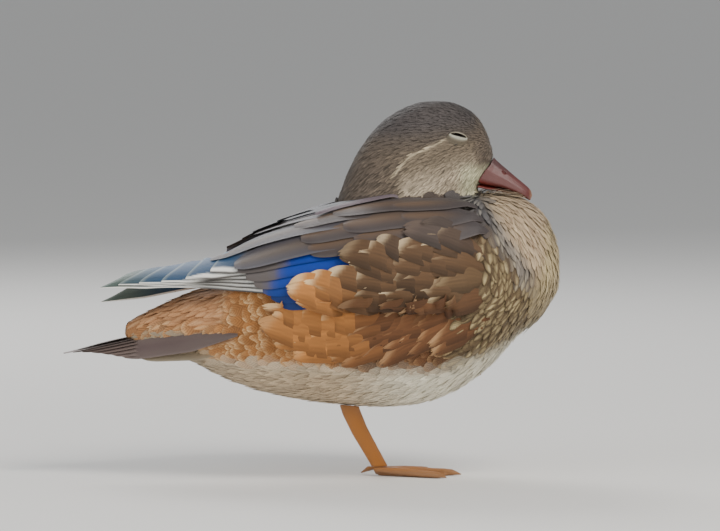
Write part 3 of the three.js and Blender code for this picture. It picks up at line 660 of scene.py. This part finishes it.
def body_coat(skin, tree):
    points, normals = sample_surface(skin, BODY_SAMPLES)
    keep = ~on_hood(points)
    points, normals = points[keep], normals[keep]
    x, z = side_view(points)
    fine = np.maximum(smooth(x, 40, 66), 0.8 * fall(z, 66, 84))
    kept = thin_out(points, 3.3 - 1.2 * fine)
    points, normals = points[kept], normals[kept]
    x, z = side_view(points)
    front = smooth(x, 40, 62)
    bib = front * smooth(z, 104, 134)
    back = np.column_stack([-np.ones(len(x)), np.zeros(len(x)), -0.25 - 0.5 * front])
    spread_out = unit(points - NECK_ROOT) + np.array([0, 0, -0.45])
    lies = lie_along(normals, mix(unit(back), unit(spread_out), bib[:, None]))
    ground, mark, kind = body_colours(points)
    soft = kind == STREAK
    lengths = np.where(soft, 11.5 - 3.0 * front, 15.0 - 3.0 * front) * RNG.normal(1, 0.12, len(x))
    widths = np.where(soft, 2.1 - 0.9 * front, 4.0 - 1.7 * front) * RNG.normal(1, 0.1, len(x))
    lift = np.where(soft, 1.25, 1.45) * RNG.normal(1, 0.22, len(x))
    near_bill = band(x, 50, 72, 4) * smooth(z, 156, 160) * (np.abs(points[:, 1]) < 14)
    lift = lift + 2.2 * near_bill
    right, left = points[:, 1] <= 0, points[:, 1] > 0
    breast, rump = x > BREAST_X, x <= RUMP_X
    middle = ~breast & ~rump
    areas = {
        "breast_right": breast & right,
        "breast_left": breast & left,
        "side_right": middle & right,
        "side_left": middle & left,
        "rump": rump,
    }
    for area, inside in areas.items():
        for form_name, form, chosen in (("soft", SOFT, soft), ("coat", BROAD, ~soft)):
            some = inside & chosen
            if not some.any():
                continue
            rows = [each[some] for each in (points, lies, lengths, widths, lift, ground, mark, kind)]
            contour_feathers(f"{form_name}_{area}", tree, *rows, PLUMAGE, "body_plumage", form)


def head_coat(skin, tree):
    points, normals = sample_surface(skin, HEAD_SAMPLES)
    keep = on_hood(points) & eye_clear(points) & bill_clear(points)
    points, normals = points[keep], normals[keep]
    face = smooth(points[:, 0], 20, 50)
    kept = thin_out(points, 1.12 - 0.28 * face)
    points, normals, face = points[kept], normals[kept], face[kept]
    x, z = side_view(points)
    down = 0.12 + 0.75 * fall(z, 172, 200)
    lies = lie_along(normals, np.column_stack([-np.ones(len(x)), np.zeros(len(x)), -down]))
    lengths = (5.6 - 2.2 * face) * RNG.normal(1, 0.16, len(x))
    widths = (0.62 - 0.2 * face) * RNG.normal(1, 0.12, len(x))
    lift = np.full(len(x), 0.55) * RNG.normal(1, 0.2, len(x))
    light = fall(z, 176, 194)
    ground = head_colours(points) * RNG.normal(1, 0.08 + 0.14 * light, len(x))[:, None]
    kind = np.full(len(x), STREAK)
    halves = {"coat_head_right": points[:, 1] <= 0, "coat_head_left": points[:, 1] > 0}
    for name, some in halves.items():
        rows = [each[some] for each in (points, lies, lengths, widths, lift, ground, ground * 1.25, kind)]
        contour_feathers(name, tree, *rows, HEAD_PLUMAGE, "head_plumage", SOFT)


# Large feathers: wings, flanks and tail
def vane_profile(t, blunt):
    """Width along a long feather, against its widest."""
    tip = np.clip((t - blunt) / (1.015 - blunt), 0, 1)
    return np.minimum(0.14 + 2.2 * t, 1) * np.sqrt(np.maximum(1 - tip**2.4, 0))


def face_at(place, side, t, step):
    """A feather's face at t, a unit long, from its shaft and its side there."""
    face = np.cross(place(min(t + step, 1)) - place(max(t - step, 0)), side)
    return face / max(np.linalg.norm(face), 1e-9)


def large_vane(line, across, out, half, colour_of, blunt=0.7, rows=22, columns=9, arch=0.14, fray=0.0):
    """One long feather as a grid: line, across and out give its shaft, side and face at t."""
    stations = np.linspace(0, 1, rows)
    sides = np.linspace(-1, 1, columns)
    ragged = fray * RNG.normal(0, 1, columns)
    verts, tints, uvs = [], [], []
    for t in stations:
        side, face = across(t), out(t)
        edge = half * vane_profile(t, blunt)
        for j, uneven in zip(sides, ragged):
            reach = min(t + uneven * ramp(t, 0.55, 1.0), 1.04)
            lift = 0.22 * (1 - abs(j)) ** 3 - arch * half * j * j * 0.5
            verts.append(line(reach) + side * (j * edge) + face * lift)
            tints.append(colour_of(t, j))
            uvs.append((j * 0.5 + 0.5, t))
    return np.array(verts), grid_faces(rows, columns), np.array(tints), np.array(uvs)


def join_vanes(name, vanes, material, slot, cells_across=8):
    """Several long feathers in one piece. In the OFBake map each has a strip of its own."""
    verts, faces, tints, uvs, bake = [], [], [], [], []
    shift = 0
    rows = math.ceil(len(vanes) / cells_across)
    for k, (v, f, c, uv) in enumerate(vanes):
        verts.append(v)
        faces += [tuple(i + shift for i in face) for face in f]
        tints.append(c)
        uvs.append(uv)
        corner = np.array([(k % cells_across) / cells_across, (k // cells_across) / rows])
        size = np.array([0.94 / cells_across, 0.94 / rows])
        bake.append(corner + 0.03 / cells_across + uv * size)
        shift += len(v)
    thing = new_mesh(name, np.concatenate(verts), faces, material, slot)
    set_tint(thing, np.clip(np.concatenate(tints), 0, 1))
    set_uv(thing, "Vane", np.concatenate(uvs))
    set_uv(thing, "OFBake", np.concatenate(bake))
    return thing


LEVEL_A_DEGREE = 1.05  # height for each degree below the wing's edge


def droop_at(x, side):
    return LEFT_DROOP * ramp(-x, 70, 160) if side == LEFT else 0


def depth_share(x):
    """How much of their depth feathers keep where the wing grows thin, towards its tip."""
    return min(max((x + 150) / 60, 0.12), 1)


def wing_point(x, angle, side, inset):
    top, level, width, n = read(WING_FINE, x)
    turn = math.radians(min(max(angle, 0), 90))
    y = side * max((width - inset) * power(math.cos(turn), n), 0.6)
    z = level + max(top - level - inset, 1) * power(math.sin(turn), n)
    z = z + min(angle, 0) * LEVEL_A_DEGREE - droop_at(x, side)
    return np.array([x, y, z])


def wing_angle(x, z):
    top, level, _, n = read(WING_FINE, x)
    if z <= level:
        return (z - level) / LEVEL_A_DEGREE
    share = min((z - level) / (top - level), 1)
    return math.degrees(math.asin(share ** (n / 2)))


ROOT_SINK, ROOT_PART = 3.2, 0.15  # how deep a quill starts, and where it is up


def wing_vane(root, tip, half, inset, side, colour_of, tilt=0.5, bow=0.0, **rest):
    """A feather on the wing from root to tip; bow lifts its middle in the side view."""
    start, end = wing_angle(*root), wing_angle(*tip)

    def angle_at(x, t):
        if not bow:
            return start + (end - start) * t
        return wing_angle(x, root[1] + (tip[1] - root[1]) * t + bow * 4 * t * (1 - t))

    def place(t, turn=0.0, sink=0.0):
        x = root[0] + (tip[0] - root[0]) * t
        depth = (inset + ROOT_SINK * max(0, ROOT_PART - t) / ROOT_PART) * depth_share(x)
        return wing_point(x, angle_at(x, t) + turn, side, depth + sink)

    def across(t):
        sink = tilt * 0.35
        low, high = place(t, -2.5, -sink), place(t, 2.5, sink)
        gap = high - low
        size = np.linalg.norm(gap)
        return gap / size if size > 1e-6 else np.array([0, 0, 1.0])

    def out(t):
        face = face_at(place, across(t), t, 0.04)
        return face if face[1] * side > 0 or (abs(face[1]) < 0.2 and face[2] > 0) else -face

    verts, faces, tints, uvs = large_vane(place, across, out, half, colour_of, **rest)
    beyond = np.maximum(MIDLINE - side * verts[:, 1], 0)  # past the middle: tucked under
    verts[:, 1] = np.where(beyond > 0, side * (MIDLINE + 0.3 * beyond), verts[:, 1])
    verts[:, 2] -= 0.8 * beyond
    return verts, faces, tints, uvs


def spread(count, root_from, root_to, tip_from, tip_to, **rest):
    rows = []
    for k in range(count):
        share = k / max(count - 1, 1)
        root, tip = mix(root_from, root_to, share), mix(tip_from, tip_to, share)
        rows.append(dict(root=tuple(root), tip=tuple(tip), **rest))
    return rows


# The primaries: x and z at the tip, z at the root, and how far each bows up between them.
PRIMARIES = [
    (-100, 120, 134, 0.5),
    (-114, 116, 126, 2.5),
    (-128, 114, 119, 4),
    (-141, 112.8, 114, 5),
    (-153, 111.6, 109.5, 6),
    (-164, 109.6, 106, 7),
]
PRIMARY_ROOT_X = -34
PRIMARY_HALF, PRIMARY_INSET = 5.6, 5
PRIMARY_STEP = 1.15  # how much deeper each lies than the one before
PRIMARY_CLOSE = (-190, -120)  # x where they touch, and where they are fully apart
PRIMARY_TOP = 0.93  # how high they reach, against the wing's height
PRIMARY_CUT = 0.13  # how far the tip's upper corner is cut back, against the length
STRIPES_END_X = -108
WHITE_WEB = (0.86, 0.84, 0.78)
STEEL_BLUE, STEEL_GREY = (0.012, 0.052, 0.118), (0.070, 0.098, 0.086)


def primary_colour(order, x, j, t):
    """Steel blue towards the tip, and a white lower web that is wide in front and thin behind."""
    steel = mix(STEEL_BLUE, STEEL_GREY, (order / 5) ** 2 * ramp(-x, 118, 150))
    ground = mix((0.075, 0.066, 0.064), steel, ramp(-x, 74, 90))
    ground = ground * (1.0 + 0.35 * ramp(j, -0.6, 1.0)) * (1 + 0.06 * math.sin(60 * j))
    rim = ramp(t, 0.965, 1.0) * 0.6
    ground = mix(ground, (0.33, 0.38, 0.36), rim)
    share = ramp(x, STRIPES_END_X - 10, STRIPES_END_X + 8)
    white_to = -0.80 + 0.42 * share
    white = 1 - ramp(j, white_to - 0.06, white_to + 0.04)
    dark = ramp(-j, 0.80, 0.90) * share
    return mix(mix(ground, WHITE_WEB, white), (0.04, 0.032, 0.028), dark)


def primary_vane(tip_x, tip_z, root_z, bow, order, side, rows=34, columns=17):
    """A primary on its edge, with a tip that is cut back from its lower edge up."""
    verts, tints, uvs = [], [], []
    for station in np.linspace(0, 1, rows):
        for j in np.linspace(-1, 1, columns):
            height = (j + 1) / 2
            t = station * (1 - PRIMARY_CUT * height**1.8)
            x = PRIMARY_ROOT_X + (tip_x - PRIMARY_ROOT_X) * t
            top, level, _, _ = read(WING_FINE, x)
            narrow = np.interp(t, (0, 0.42, 0.8, 1), (0.6, 1, 0.82, 0.22))
            low = root_z + (tip_z - root_z) * t + 4 * bow * t * (1 - t) - PRIMARY_HALF * narrow
            tall = min(2 * PRIMARY_HALF * min(0.6 + t, 1), level + PRIMARY_TOP * (top - level) - low)
            z = low + height * max(tall, 0.3)
            surface = abs(wing_point(x, wing_angle(x, z), RIGHT, 0)[1])
            inset = PRIMARY_INSET * depth_share(x)
            apart = PRIMARY_STEP * order * float(np.interp(x, PRIMARY_CLOSE, (0, 1)))
            y = max(surface - inset - apart - 0.5 * j, 0.6)
            verts.append((x, side * y, z - droop_at(x, side)))
            tints.append(primary_colour(order, x, j, station))
            uvs.append((height, t))
    return np.array(verts), grid_faces(rows, columns), np.array(tints), np.array(uvs)


PANEL_Z = (108, 131)
SPECULUM, SPECULUM_SHADE = (0.002, 0.038, 0.290), (0.002, 0.016, 0.070)
PANEL_REAR_X = (-73, -53)  # where the blue ends behind, at those heights


def secondary_colours(root, tip):
    """Brown-grey at the tip, and deep blue in front of it with a shaded lower edge."""
    def colour(t, j):
        x = root[0] + (tip[0] - root[0]) * t
        z = root[1] + (tip[1] - root[1]) * t
        grey = mix((0.105, 0.088, 0.082), (0.135, 0.118, 0.115), ramp(j, -1, 1))
        low = 1 - ramp(z, 106, 120)
        shade = max(low * 0.7, ramp(-j, 0.6, 1.0) * 0.4)
        blue = mix(SPECULUM, SPECULUM_SHADE, shade)
        rear = float(np.interp(z, PANEL_Z, PANEL_REAR_X))
        return mix(grey, blue, ramp(x, rear - 3, rear + 4))

    return colour


def plain_colour(dark, edge, edge_from=0.8, centre=None):
    def colour(t, j):
        share = max(ramp(abs(j), edge_from, 1.0), ramp(t, 0.95, 1.0))
        ground = dark
        if centre is not None:
            ground = mix(dark, centre, math.exp(-((j / 0.45) ** 2)) * ramp(t, 0.2, 0.7))
        return mix(ground, edge, share * 0.6) * (0.86 + 0.14 * t)

    return colour


TERTIAL = plain_colour((0.064, 0.059, 0.070), (0.14, 0.13, 0.145), centre=(0.100, 0.073, 0.056))
SCAPULAR = plain_colour((0.052, 0.042, 0.042), (0.105, 0.085, 0.080), centre=(0.115, 0.072, 0.046))
# The pale edges of the long slate feathers are a painted highlight, where their raised edges catch the
# light.
SLATE_LONG = plain_colour((0.040, 0.042, 0.052), (0.12, 0.125, 0.14))
LAVENDER_EDGE = plain_colour((0.13, 0.10, 0.115), (0.19, 0.155, 0.17))


def make_wing(side):
    name = SIDE_NAMES[side]
    vanes = []

    def add(rows, colour, **extra):
        for one in rows:
            vanes.append(wing_vane(side=side, colour_of=colour, **one, **extra))

    for order, row in enumerate(PRIMARIES):
        vanes.append(primary_vane(*row, order, side))
    for row in spread(6, (8, 137), (-4, 112), (-84, 122.5), (-60, 104.5), half=6.2, inset=3.0):
        add([row], secondary_colours(row["root"], row["tip"]), tilt=0.8, blunt=0.8)
    add([dict(root=(14, 146), tip=(-86, 125), half=9.8, inset=2.1)], TERTIAL, blunt=0.78, arch=0.1)
    add(spread(3, (10, 151), (6, 160), (-100, 127), (-82, 140), half=8.6, inset=1.7), TERTIAL, arch=0.1)
    add(spread(2, (-4, 160), (2, 162), (-76, 141), (-62, 147.5), half=7.0, inset=1.0), SLATE_LONG, arch=0.1)
    add(spread(3, (22, 145), (16, 158), (-44, 135), (-52, 147), half=10.5, inset=1.3), SCAPULAR, arch=0.2)
    add(spread(3, (48, 149), (44, 160), (-18, 141), (-30, 154), half=10.5, inset=0.6), SCAPULAR, arch=0.2)
    add(spread(3, (60, 145), (54, 159), (14, 147), (4, 158), half=9.0, inset=0.2), SCAPULAR, arch=0.2)
    add([dict(root=(12, 163), tip=(-40, 152), half=4.2, inset=-0.9)], LAVENDER_EDGE, arch=0.5)
    wing = join_vanes(f"wing_feathers_{name}", vanes, FLIGHT, "wing_feathers")
    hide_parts(f"wing_{name}")


TAIL_FRONT_X = -84
TAIL_FEATHERS = 6  # on each side of the middle one


TAIL_ROOT_Z, TAIL_SIDE_DROP = 93, 9  # the root in the middle, and how much lower at the sides
TAIL_ROLL = 65  # degrees that the outermost feathers turn down
TAIL_GAP, TAIL_LEAST = 1.2, 7.5  # room over the rump, and least half width


def tail_vane(index, length, half, lift, drop, colour_of, front=TAIL_FRONT_X):
    """A tail feather that leaves the rump's side and closes in on the middle towards its tip."""
    share = index / TAIL_FEATHERS
    roll = math.radians(TAIL_ROLL * share)
    top = TAIL_ROOT_Z - TAIL_SIDE_DROP * abs(share) ** 1.5 + lift
    side = np.array([0, math.cos(roll), -math.sin(roll)])

    def line(t):
        x = front - length * t
        width = max(np.interp(x, BODY_FINE[:, 0], BODY_FINE[:, 3]) + TAIL_GAP, TAIL_LEAST)
        z = top - length * t * math.tan(math.radians(drop)) * (1 - 0.18 * abs(share))
        return np.array([x, share * width * 0.98, z])

    def out(t):
        face = face_at(line, side, t, 0.05)
        return face if face[2] > 0 else -face

    return large_vane(line, lambda t: side, out, half, colour_of, blunt=0.76)


def make_tail():
    quill = plain_colour((0.125, 0.090, 0.080), (0.20, 0.15, 0.13), centre=(0.105, 0.070, 0.065))
    rufous = plain_colour((0.44, 0.205, 0.090), (0.58, 0.34, 0.18), 0.6)
    under = plain_colour((0.40, 0.32, 0.22), (0.50, 0.42, 0.31), 0.6)
    outward = (-6, 6, -5, 5, -4, 4, -3, 3, -2, 2, -1, 1, 0)
    vanes = [tail_vane(i, 101 - 5.5 * abs(i), 6.2, 0, 12.5, quill) for i in outward]
    for i in outward[2:]:
        length, lift = 66 - 3.4 * abs(i), 7.5 - 0.7 * abs(i)
        vanes.append(tail_vane(i * 1.05, length, 7.2, lift, 14.5, rufous, front=-70))
    for i in (-4, 4, -2, 2, 0):
        vanes.append(tail_vane(i, 70 - 3 * abs(i), 7.5, -13, 4, under))
    tail = join_vanes("tail_feathers", vanes, FLIGHT, "tail_feathers")
    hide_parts("tail")


def flank_colour(at):
    """The small feathers' colours at this place, a little different on every feather, with painted shade
    along each feather's lower side.
    """
    ground, mark, _ = body_colours(np.array([at]))
    ground, mark = ground[0] * RNG.normal(1.1, 0.14), mark[0]
    strength = RNG.uniform(0.15, 1.0) ** 1.2
    grain = RNG.uniform(0, 6)

    def colour(t, j):
        pale = strength * ramp(t + 0.16 * j, 0.76, 0.96)
        # Painted shade: each feather is darker along its lower side, less so towards the tip.
        lower_side_shade = 1 - 0.50 * ramp(-j, 0.0, 0.9) * (1 - 0.5 * ramp(t, 0.7, 1))
        shaft = 1 - 0.16 * math.exp(-((j / 0.08) ** 2)) + 0.10 * math.sin(j * 21 + 9 * t + grain)
        return mix(ground * (0.85 + 0.35 * t) * lower_side_shade * shaft, mark, pale)

    return colour


FLANK_EDGE_X = (-70, -60, -49, -34, -32, -17, -6, 6, 17, 40, 60)
FLANK_EDGE_Z = (100, 109, 117, 121.5, 131, 136.9, 141.5, 146, 149, 148, 145)
FLANK_TIERS, FLANK_ROW = 10, 10
FLANK_FRONT_X, FLANK_SPAN, FLANK_LOWEST = 30, 104, 66
FLANK_STEP, FLANK_TOP_GAP = 7.8, 4.0  # from tier to tier, and from the upper edge to the first
FLANK_LENGTH, FLANK_HALF = 36, 7.4
FLANK_RISE, FLANK_RISE_STEP = 21, 5  # degrees of the first tier, and how much less in each next
FLANK_BOW = 3.0
OVER_SKIN, OVER_WING = 4.6, 2.4  # how far tips stand off
OVER_STEP = 0.3  # how much less they do in each next tier
FRONT_SINK = 2.6  # how much closer the foremost lie
QUILL_SINK = 0.6  # how deep a quill starts
WING_LOW = 100  # no wing reaches lower than this in front of the tail


def flank_places():
    """Where the flank feathers' tips are: x, z, tier, from the rearmost and lowest up."""
    places = []
    for tier in range(FLANK_TIERS):
        for k in range(FLANK_ROW):
            x = FLANK_FRONT_X - FLANK_SPAN * (k + 0.5 * (tier % 2)) / FLANK_ROW + RNG.normal(0, 2.2)
            upper = float(np.interp(x, FLANK_EDGE_X, FLANK_EDGE_Z))
            z = upper - FLANK_STEP * tier - FLANK_TOP_GAP + RNG.normal(0, 1.5)
            if z > FLANK_LOWEST + 0.25 * max(-20 - x, 0):
                places.append((x - 3, z, tier))
    return sorted(places, key=lambda place: (-place[2], place[0]))


def flank_vane(tree, tip_x, tip_z, tier, side):
    """A flank feather over the skin, and over the wing where the wing lies on the skin."""
    length = FLANK_LENGTH + RNG.normal(0, 4)
    half = (FLANK_HALF + 2.0 * ramp(-tip_x, 10, 50)) * RNG.normal(1, 0.11)
    rise = math.radians(FLANK_RISE - FLANK_RISE_STEP * tier + RNG.normal(0, 4))
    bow = RNG.normal(FLANK_BOW, 0.8)

    def place(t, up=0.0):
        px = tip_x + length * (1 - t) * math.cos(rise)
        pz = tip_z - length * (1 - t) * math.sin(rise) + 4 * bow * t * (1 - t) + up
        at, _, _, _ = tree.find_nearest(Vector((px, side * 70, pz)) * MM)
        skin_y = abs(at[1]) / MM
        wing_y = abs(wing_point(px, wing_angle(px, pz), RIGHT, 0)[1]) if pz > WING_LOW else 0
        over = max(skin_y + OVER_SKIN - OVER_STEP * tier, wing_y + OVER_WING - OVER_STEP * tier)
        over -= FRONT_SINK * ramp(px, 22, 56)
        low = skin_y - QUILL_SINK
        return np.array([px, side * (low + (over - low) * ramp(t, 0.08, 0.52)), pz])

    def across(t):
        gap = place(t, 2.0) - place(t, -2.0)
        return gap / np.linalg.norm(gap)

    def out(t):
        face = face_at(place, across(t), t, 0.05)
        return face if face[1] * side > 0 else -face

    colour = flank_colour((tip_x + 12, side * 55.0, max(tip_z - 4, 80)))
    form = dict(rows=18, columns=15, blunt=0.42, arch=0.13, fray=0.03)
    return large_vane(place, across, out, half, colour, **form)


def make_flanks(tree, side):
    name = SIDE_NAMES[side]
    vanes = [flank_vane(tree, *place, side) for place in flank_places()]
    join_vanes(f"flank_feathers_{name}", vanes, BROAD_FEATHERS, "body_plumage")


# Bill, eyes and legs
def copy_smooth(node_name, name, material, colour_of, voxel, rounds, up=0.0):
    """A finer, rounded copy of a frame solid that stands for it."""
    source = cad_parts[node_name]
    thing = source.copy()
    thing.data = source.data.copy()
    thing.name = name
    thing.parent = None
    add_to_scene(thing)
    thing.modifiers.clear()
    thing.data.transform(Matrix.Translation((0, 0, up * MM)))
    set_tint(thing, colour_of(rounded(thing, voxel, 0.5, rounds, material)))
    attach(thing, "root")
    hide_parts(node_name)


DULL_RED, DARK_RED, EDGE_RED = (0.092, 0.0155, 0.0130), (0.042, 0.0135, 0.0145), (0.21, 0.025, 0.016)
NAIL = (0.22, 0.105, 0.055)
BILL_SLOPE = 0.47  # drop for each millimetre forward
LEG_ORANGE, LEG_SHADE_BROWN, LEG_FOOT_GREY = (0.48, 0.17, 0.022), (0.26, 0.11, 0.035), (0.20, 0.14, 0.09)


def bill_colour(p):
    x, z = side_view(p)
    red = np.tile(DULL_RED, (len(p), 1))
    ridge = smooth(z - (178 - (x - 56) * BILL_SLOPE), 1.0, 6.0)
    red = mix(red, DARK_RED, (ridge * 0.8)[:, None])
    edge = fall(z - (170 - (x - 56) * BILL_SLOPE), -2.0, 1.6)
    red = mix(red, EDGE_RED, (edge * 0.55)[:, None])
    return mix(red, NAIL, smooth(x, 82, 84.5)[:, None])


def leg_colour(p):
    z = p[:, 2]
    orange = np.tile(LEG_ORANGE, (len(p), 1))
    # Painted shade: the leg turns browner and darker towards its top, under the belly.
    orange = mix(orange, LEG_SHADE_BROWN, smooth(z, 30, 44)[:, None] * 0.7)
    # The foot is greyer and darker at its bottom, near the floor.
    return mix(orange, LEG_FOOT_GREY, fall(z, 2, 6)[:, None] * 0.5)


def make_eyes():
    for name in ("eye_right", "eye_left"):
        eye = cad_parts[name]
        eye.data.materials.clear()
        eye.data.materials.append(EYE_GLOSS)


def eye_frame(side):
    front, _, wide, width = read(HOOD_FINE, EYE_Z)
    n = HOOD_FRONT_POWER
    u = (EYE_X - wide) / (front - wide)
    y = width * (1 - u**n) ** (1 / n)
    out = unit(np.array([u ** (n - 1) / (front - wide) * width, side * (y / width) ** (n - 1), 0.22]))
    forward = unit(np.array([1.0, 0, 0]) - out * out[0])
    rise = np.cross(out, forward)
    rise = rise if rise[2] > 0 else -rise
    return np.array([EYE_X, side * y, EYE_Z]), out, forward, rise


LID_LONG, LID_HIGH = 6.6, 4.3  # half sizes of both lids together
SLIT_LONG, SLIT_HIGH, SLIT_UP = 4.7, 1.25, 1.2
LID_SLOPE = 10  # degrees
LID_TOP, LID_FALL, LID_SWELL = 1.65, 2.3, 0.34  # height over the head, fall to the rim, roundness


def make_lids(side):
    """Two lids nearly shut over the eye, with a slit that slopes down forward."""
    name = SIDE_NAMES[side]
    at, out, forward, rise = eye_frame(side)
    slope = math.radians(LID_SLOPE)
    along = forward * math.cos(slope) - rise * math.sin(slope)
    up = np.cross(out, along)
    up = up if up[2] > 0 else -up
    rings, around = 9, 48
    verts, tints = [], []
    for k in range(rings):
        t = k / (rings - 1)
        swell = math.sin(math.pi * min(t * 1.25, 1)) * LID_SWELL
        for j in range(around):
            a = 2 * math.pi * j / around
            reach_x = SLIT_LONG + (LID_LONG - SLIT_LONG) * t
            reach_z = SLIT_HIGH + (LID_HIGH - SLIT_HIGH) * t
            flat = 1 if math.sin(a) > 0 else 0.35 + 0.65 * t
            px, pz = reach_x * math.cos(a), reach_z * flat * math.sin(a) + SLIT_UP * (1 - t)
            fall = 0.026 * px * px + 0.030 * pz * pz
            verts.append(at + along * px + up * pz + out * (LID_TOP - fall + swell - LID_FALL * t**2.5))
            # Painted shading of wrinkles: each ring of the lids is a little lighter or darker.
            wrinkle_shading = 0.9 + 0.1 * math.sin(k * 3.0)
            # Painted shade in the slit: the lids turn near black at their inner edge.
            dark = math.exp(-((t / 0.09) ** 2))
            lower = mix((0.38, 0.365, 0.285), (0.16, 0.13, 0.09), ramp(t, 0.30, 0.66))
            upper = mix((0.38, 0.33, 0.23), (0.085, 0.072, 0.062), ramp(t, 0.20, 0.42))
            pale = lower if pz < SLIT_UP else upper
            tints.append(mix(pale * wrinkle_shading, (0.02, 0.017, 0.015), dark))
    faces = grid_faces(rings, around, closed=True)
    lids = new_mesh(f"eyelids_{name}", verts, faces, LID, "head_plumage")
    set_tint(lids, np.array(tints))


# Camera, light and floor
# Camera: lens and sensor in millimetres, distances in metres
LENS, SENSOR, CLIP_END = 300, 36, 300
VIEW_CENTRE = Vector((-14.4, 0, 121)) * MM
CAMERA_DISTANCE = 3.45
CAMERA_HEIGHT_ANGLE = math.radians(3.5)


def make_camera():
    data = bpy.data.cameras.new("camera")
    data.lens = LENS
    data.sensor_width = SENSOR
    data.clip_end = CLIP_END
    camera = bpy.data.objects.new("camera", data)
    add_to_scene(camera)
    back = Vector((0, -math.cos(CAMERA_HEIGHT_ANGLE), math.sin(CAMERA_HEIGHT_ANGLE)))
    camera.location = VIEW_CENTRE + back * CAMERA_DISTANCE
    camera.rotation_euler = (VIEW_CENTRE - camera.location).to_track_quat("-Z", "Y").to_euler()
    bpy.context.scene.camera = camera


LIT_POINT = Vector((0, 0, 0.1))
# Name, place in metres, watts, size in metres and colour of each light
LIGHTS = [
    ("key", (0.9, -1.0, 1.5), 32, 0.9, (1.0, 0.96, 0.9)),
    ("fill", (-1.3, -1.1, 0.7), 9, 1.2, (0.9, 0.95, 1.0)),
    ("rim", (-0.5, 1.4, 1.2), 16, 0.8, (1.0, 1.0, 1.0)),
    ("low", (0.6, -1.4, 0.25), 8, 0.8, (1.0, 0.96, 0.88)),
]


def area_light(name, place, power_watts, size, colour):
    data = bpy.data.lights.new(name, "AREA")
    data.energy = power_watts
    data.size = size
    data.color = colour
    light = bpy.data.objects.new(name, data)
    light.location = place
    light.rotation_euler = (LIT_POINT - Vector(place)).to_track_quat("-Z", "Y").to_euler()
    add_to_scene(light)


BACKDROP_COLOUR, BACKDROP_STRENGTH = (0.86, 0.88, 0.9, 1), 0.5
FLOOR = 90  # metres from the duck to the edge of the floor
FLOOR_DROP = 0.0002  # metres under the foot
FLOOR_COLOUR = (0.74, 0.73, 0.71, 1)


def make_studio():
    for light in LIGHTS:
        area_light(*light)
    world = bpy.data.worlds.new("studio")
    world.use_nodes = True
    backdrop = world.node_tree.nodes["Background"]
    backdrop.inputs["Color"].default_value = BACKDROP_COLOUR
    backdrop.inputs["Strength"].default_value = BACKDROP_STRENGTH
    bpy.context.scene.world = world
    material, _, shader = new_material("pale_floor")
    shader.inputs["Base Color"].default_value = FLOOR_COLOUR
    shader.inputs["Roughness"].default_value = 0.85
    mesh = bpy.data.meshes.new("floor")
    corners = [(-FLOOR, -FLOOR, 0), (FLOOR, -FLOOR, 0), (FLOOR, FLOOR, 0), (-FLOOR, FLOOR, 0)]
    mesh.from_pydata(corners, [], [(0, 1, 2, 3)])
    mesh.materials.append(material)
    floor = bpy.data.objects.new("floor", mesh)
    floor.location.z = -FLOOR_DROP
    add_to_scene(floor)


BILL_SHUT = 0.4  # the lower half is closed up by this much
# Solid, voxel, and rounds of softening
LEG_PARTS = [("leg_right", 0.6, 4), ("leg_left", 0.6, 4), ("foot_right", 0.4, 2), ("foot_left", 0.5, 2)]

make_camera()
make_studio()
skin = make_skin()
tree = surface_tree(skin)
body_coat(skin, tree)
head_coat(skin, tree)
for side in (RIGHT, LEFT):
    make_wing(side)
    make_flanks(tree, side)
    make_lids(side)
make_tail()
make_eyes()
for part, up in (("bill_upper", 0.0), ("bill_lower", BILL_SHUT)):
    copy_smooth(part, f"{part}_horn", HORN, bill_colour, 0.45, 4, up)
for part, voxel, rounds in LEG_PARTS:
    copy_smooth(part, f"{part}_skin", SCALES, leg_colour, voxel, rounds)
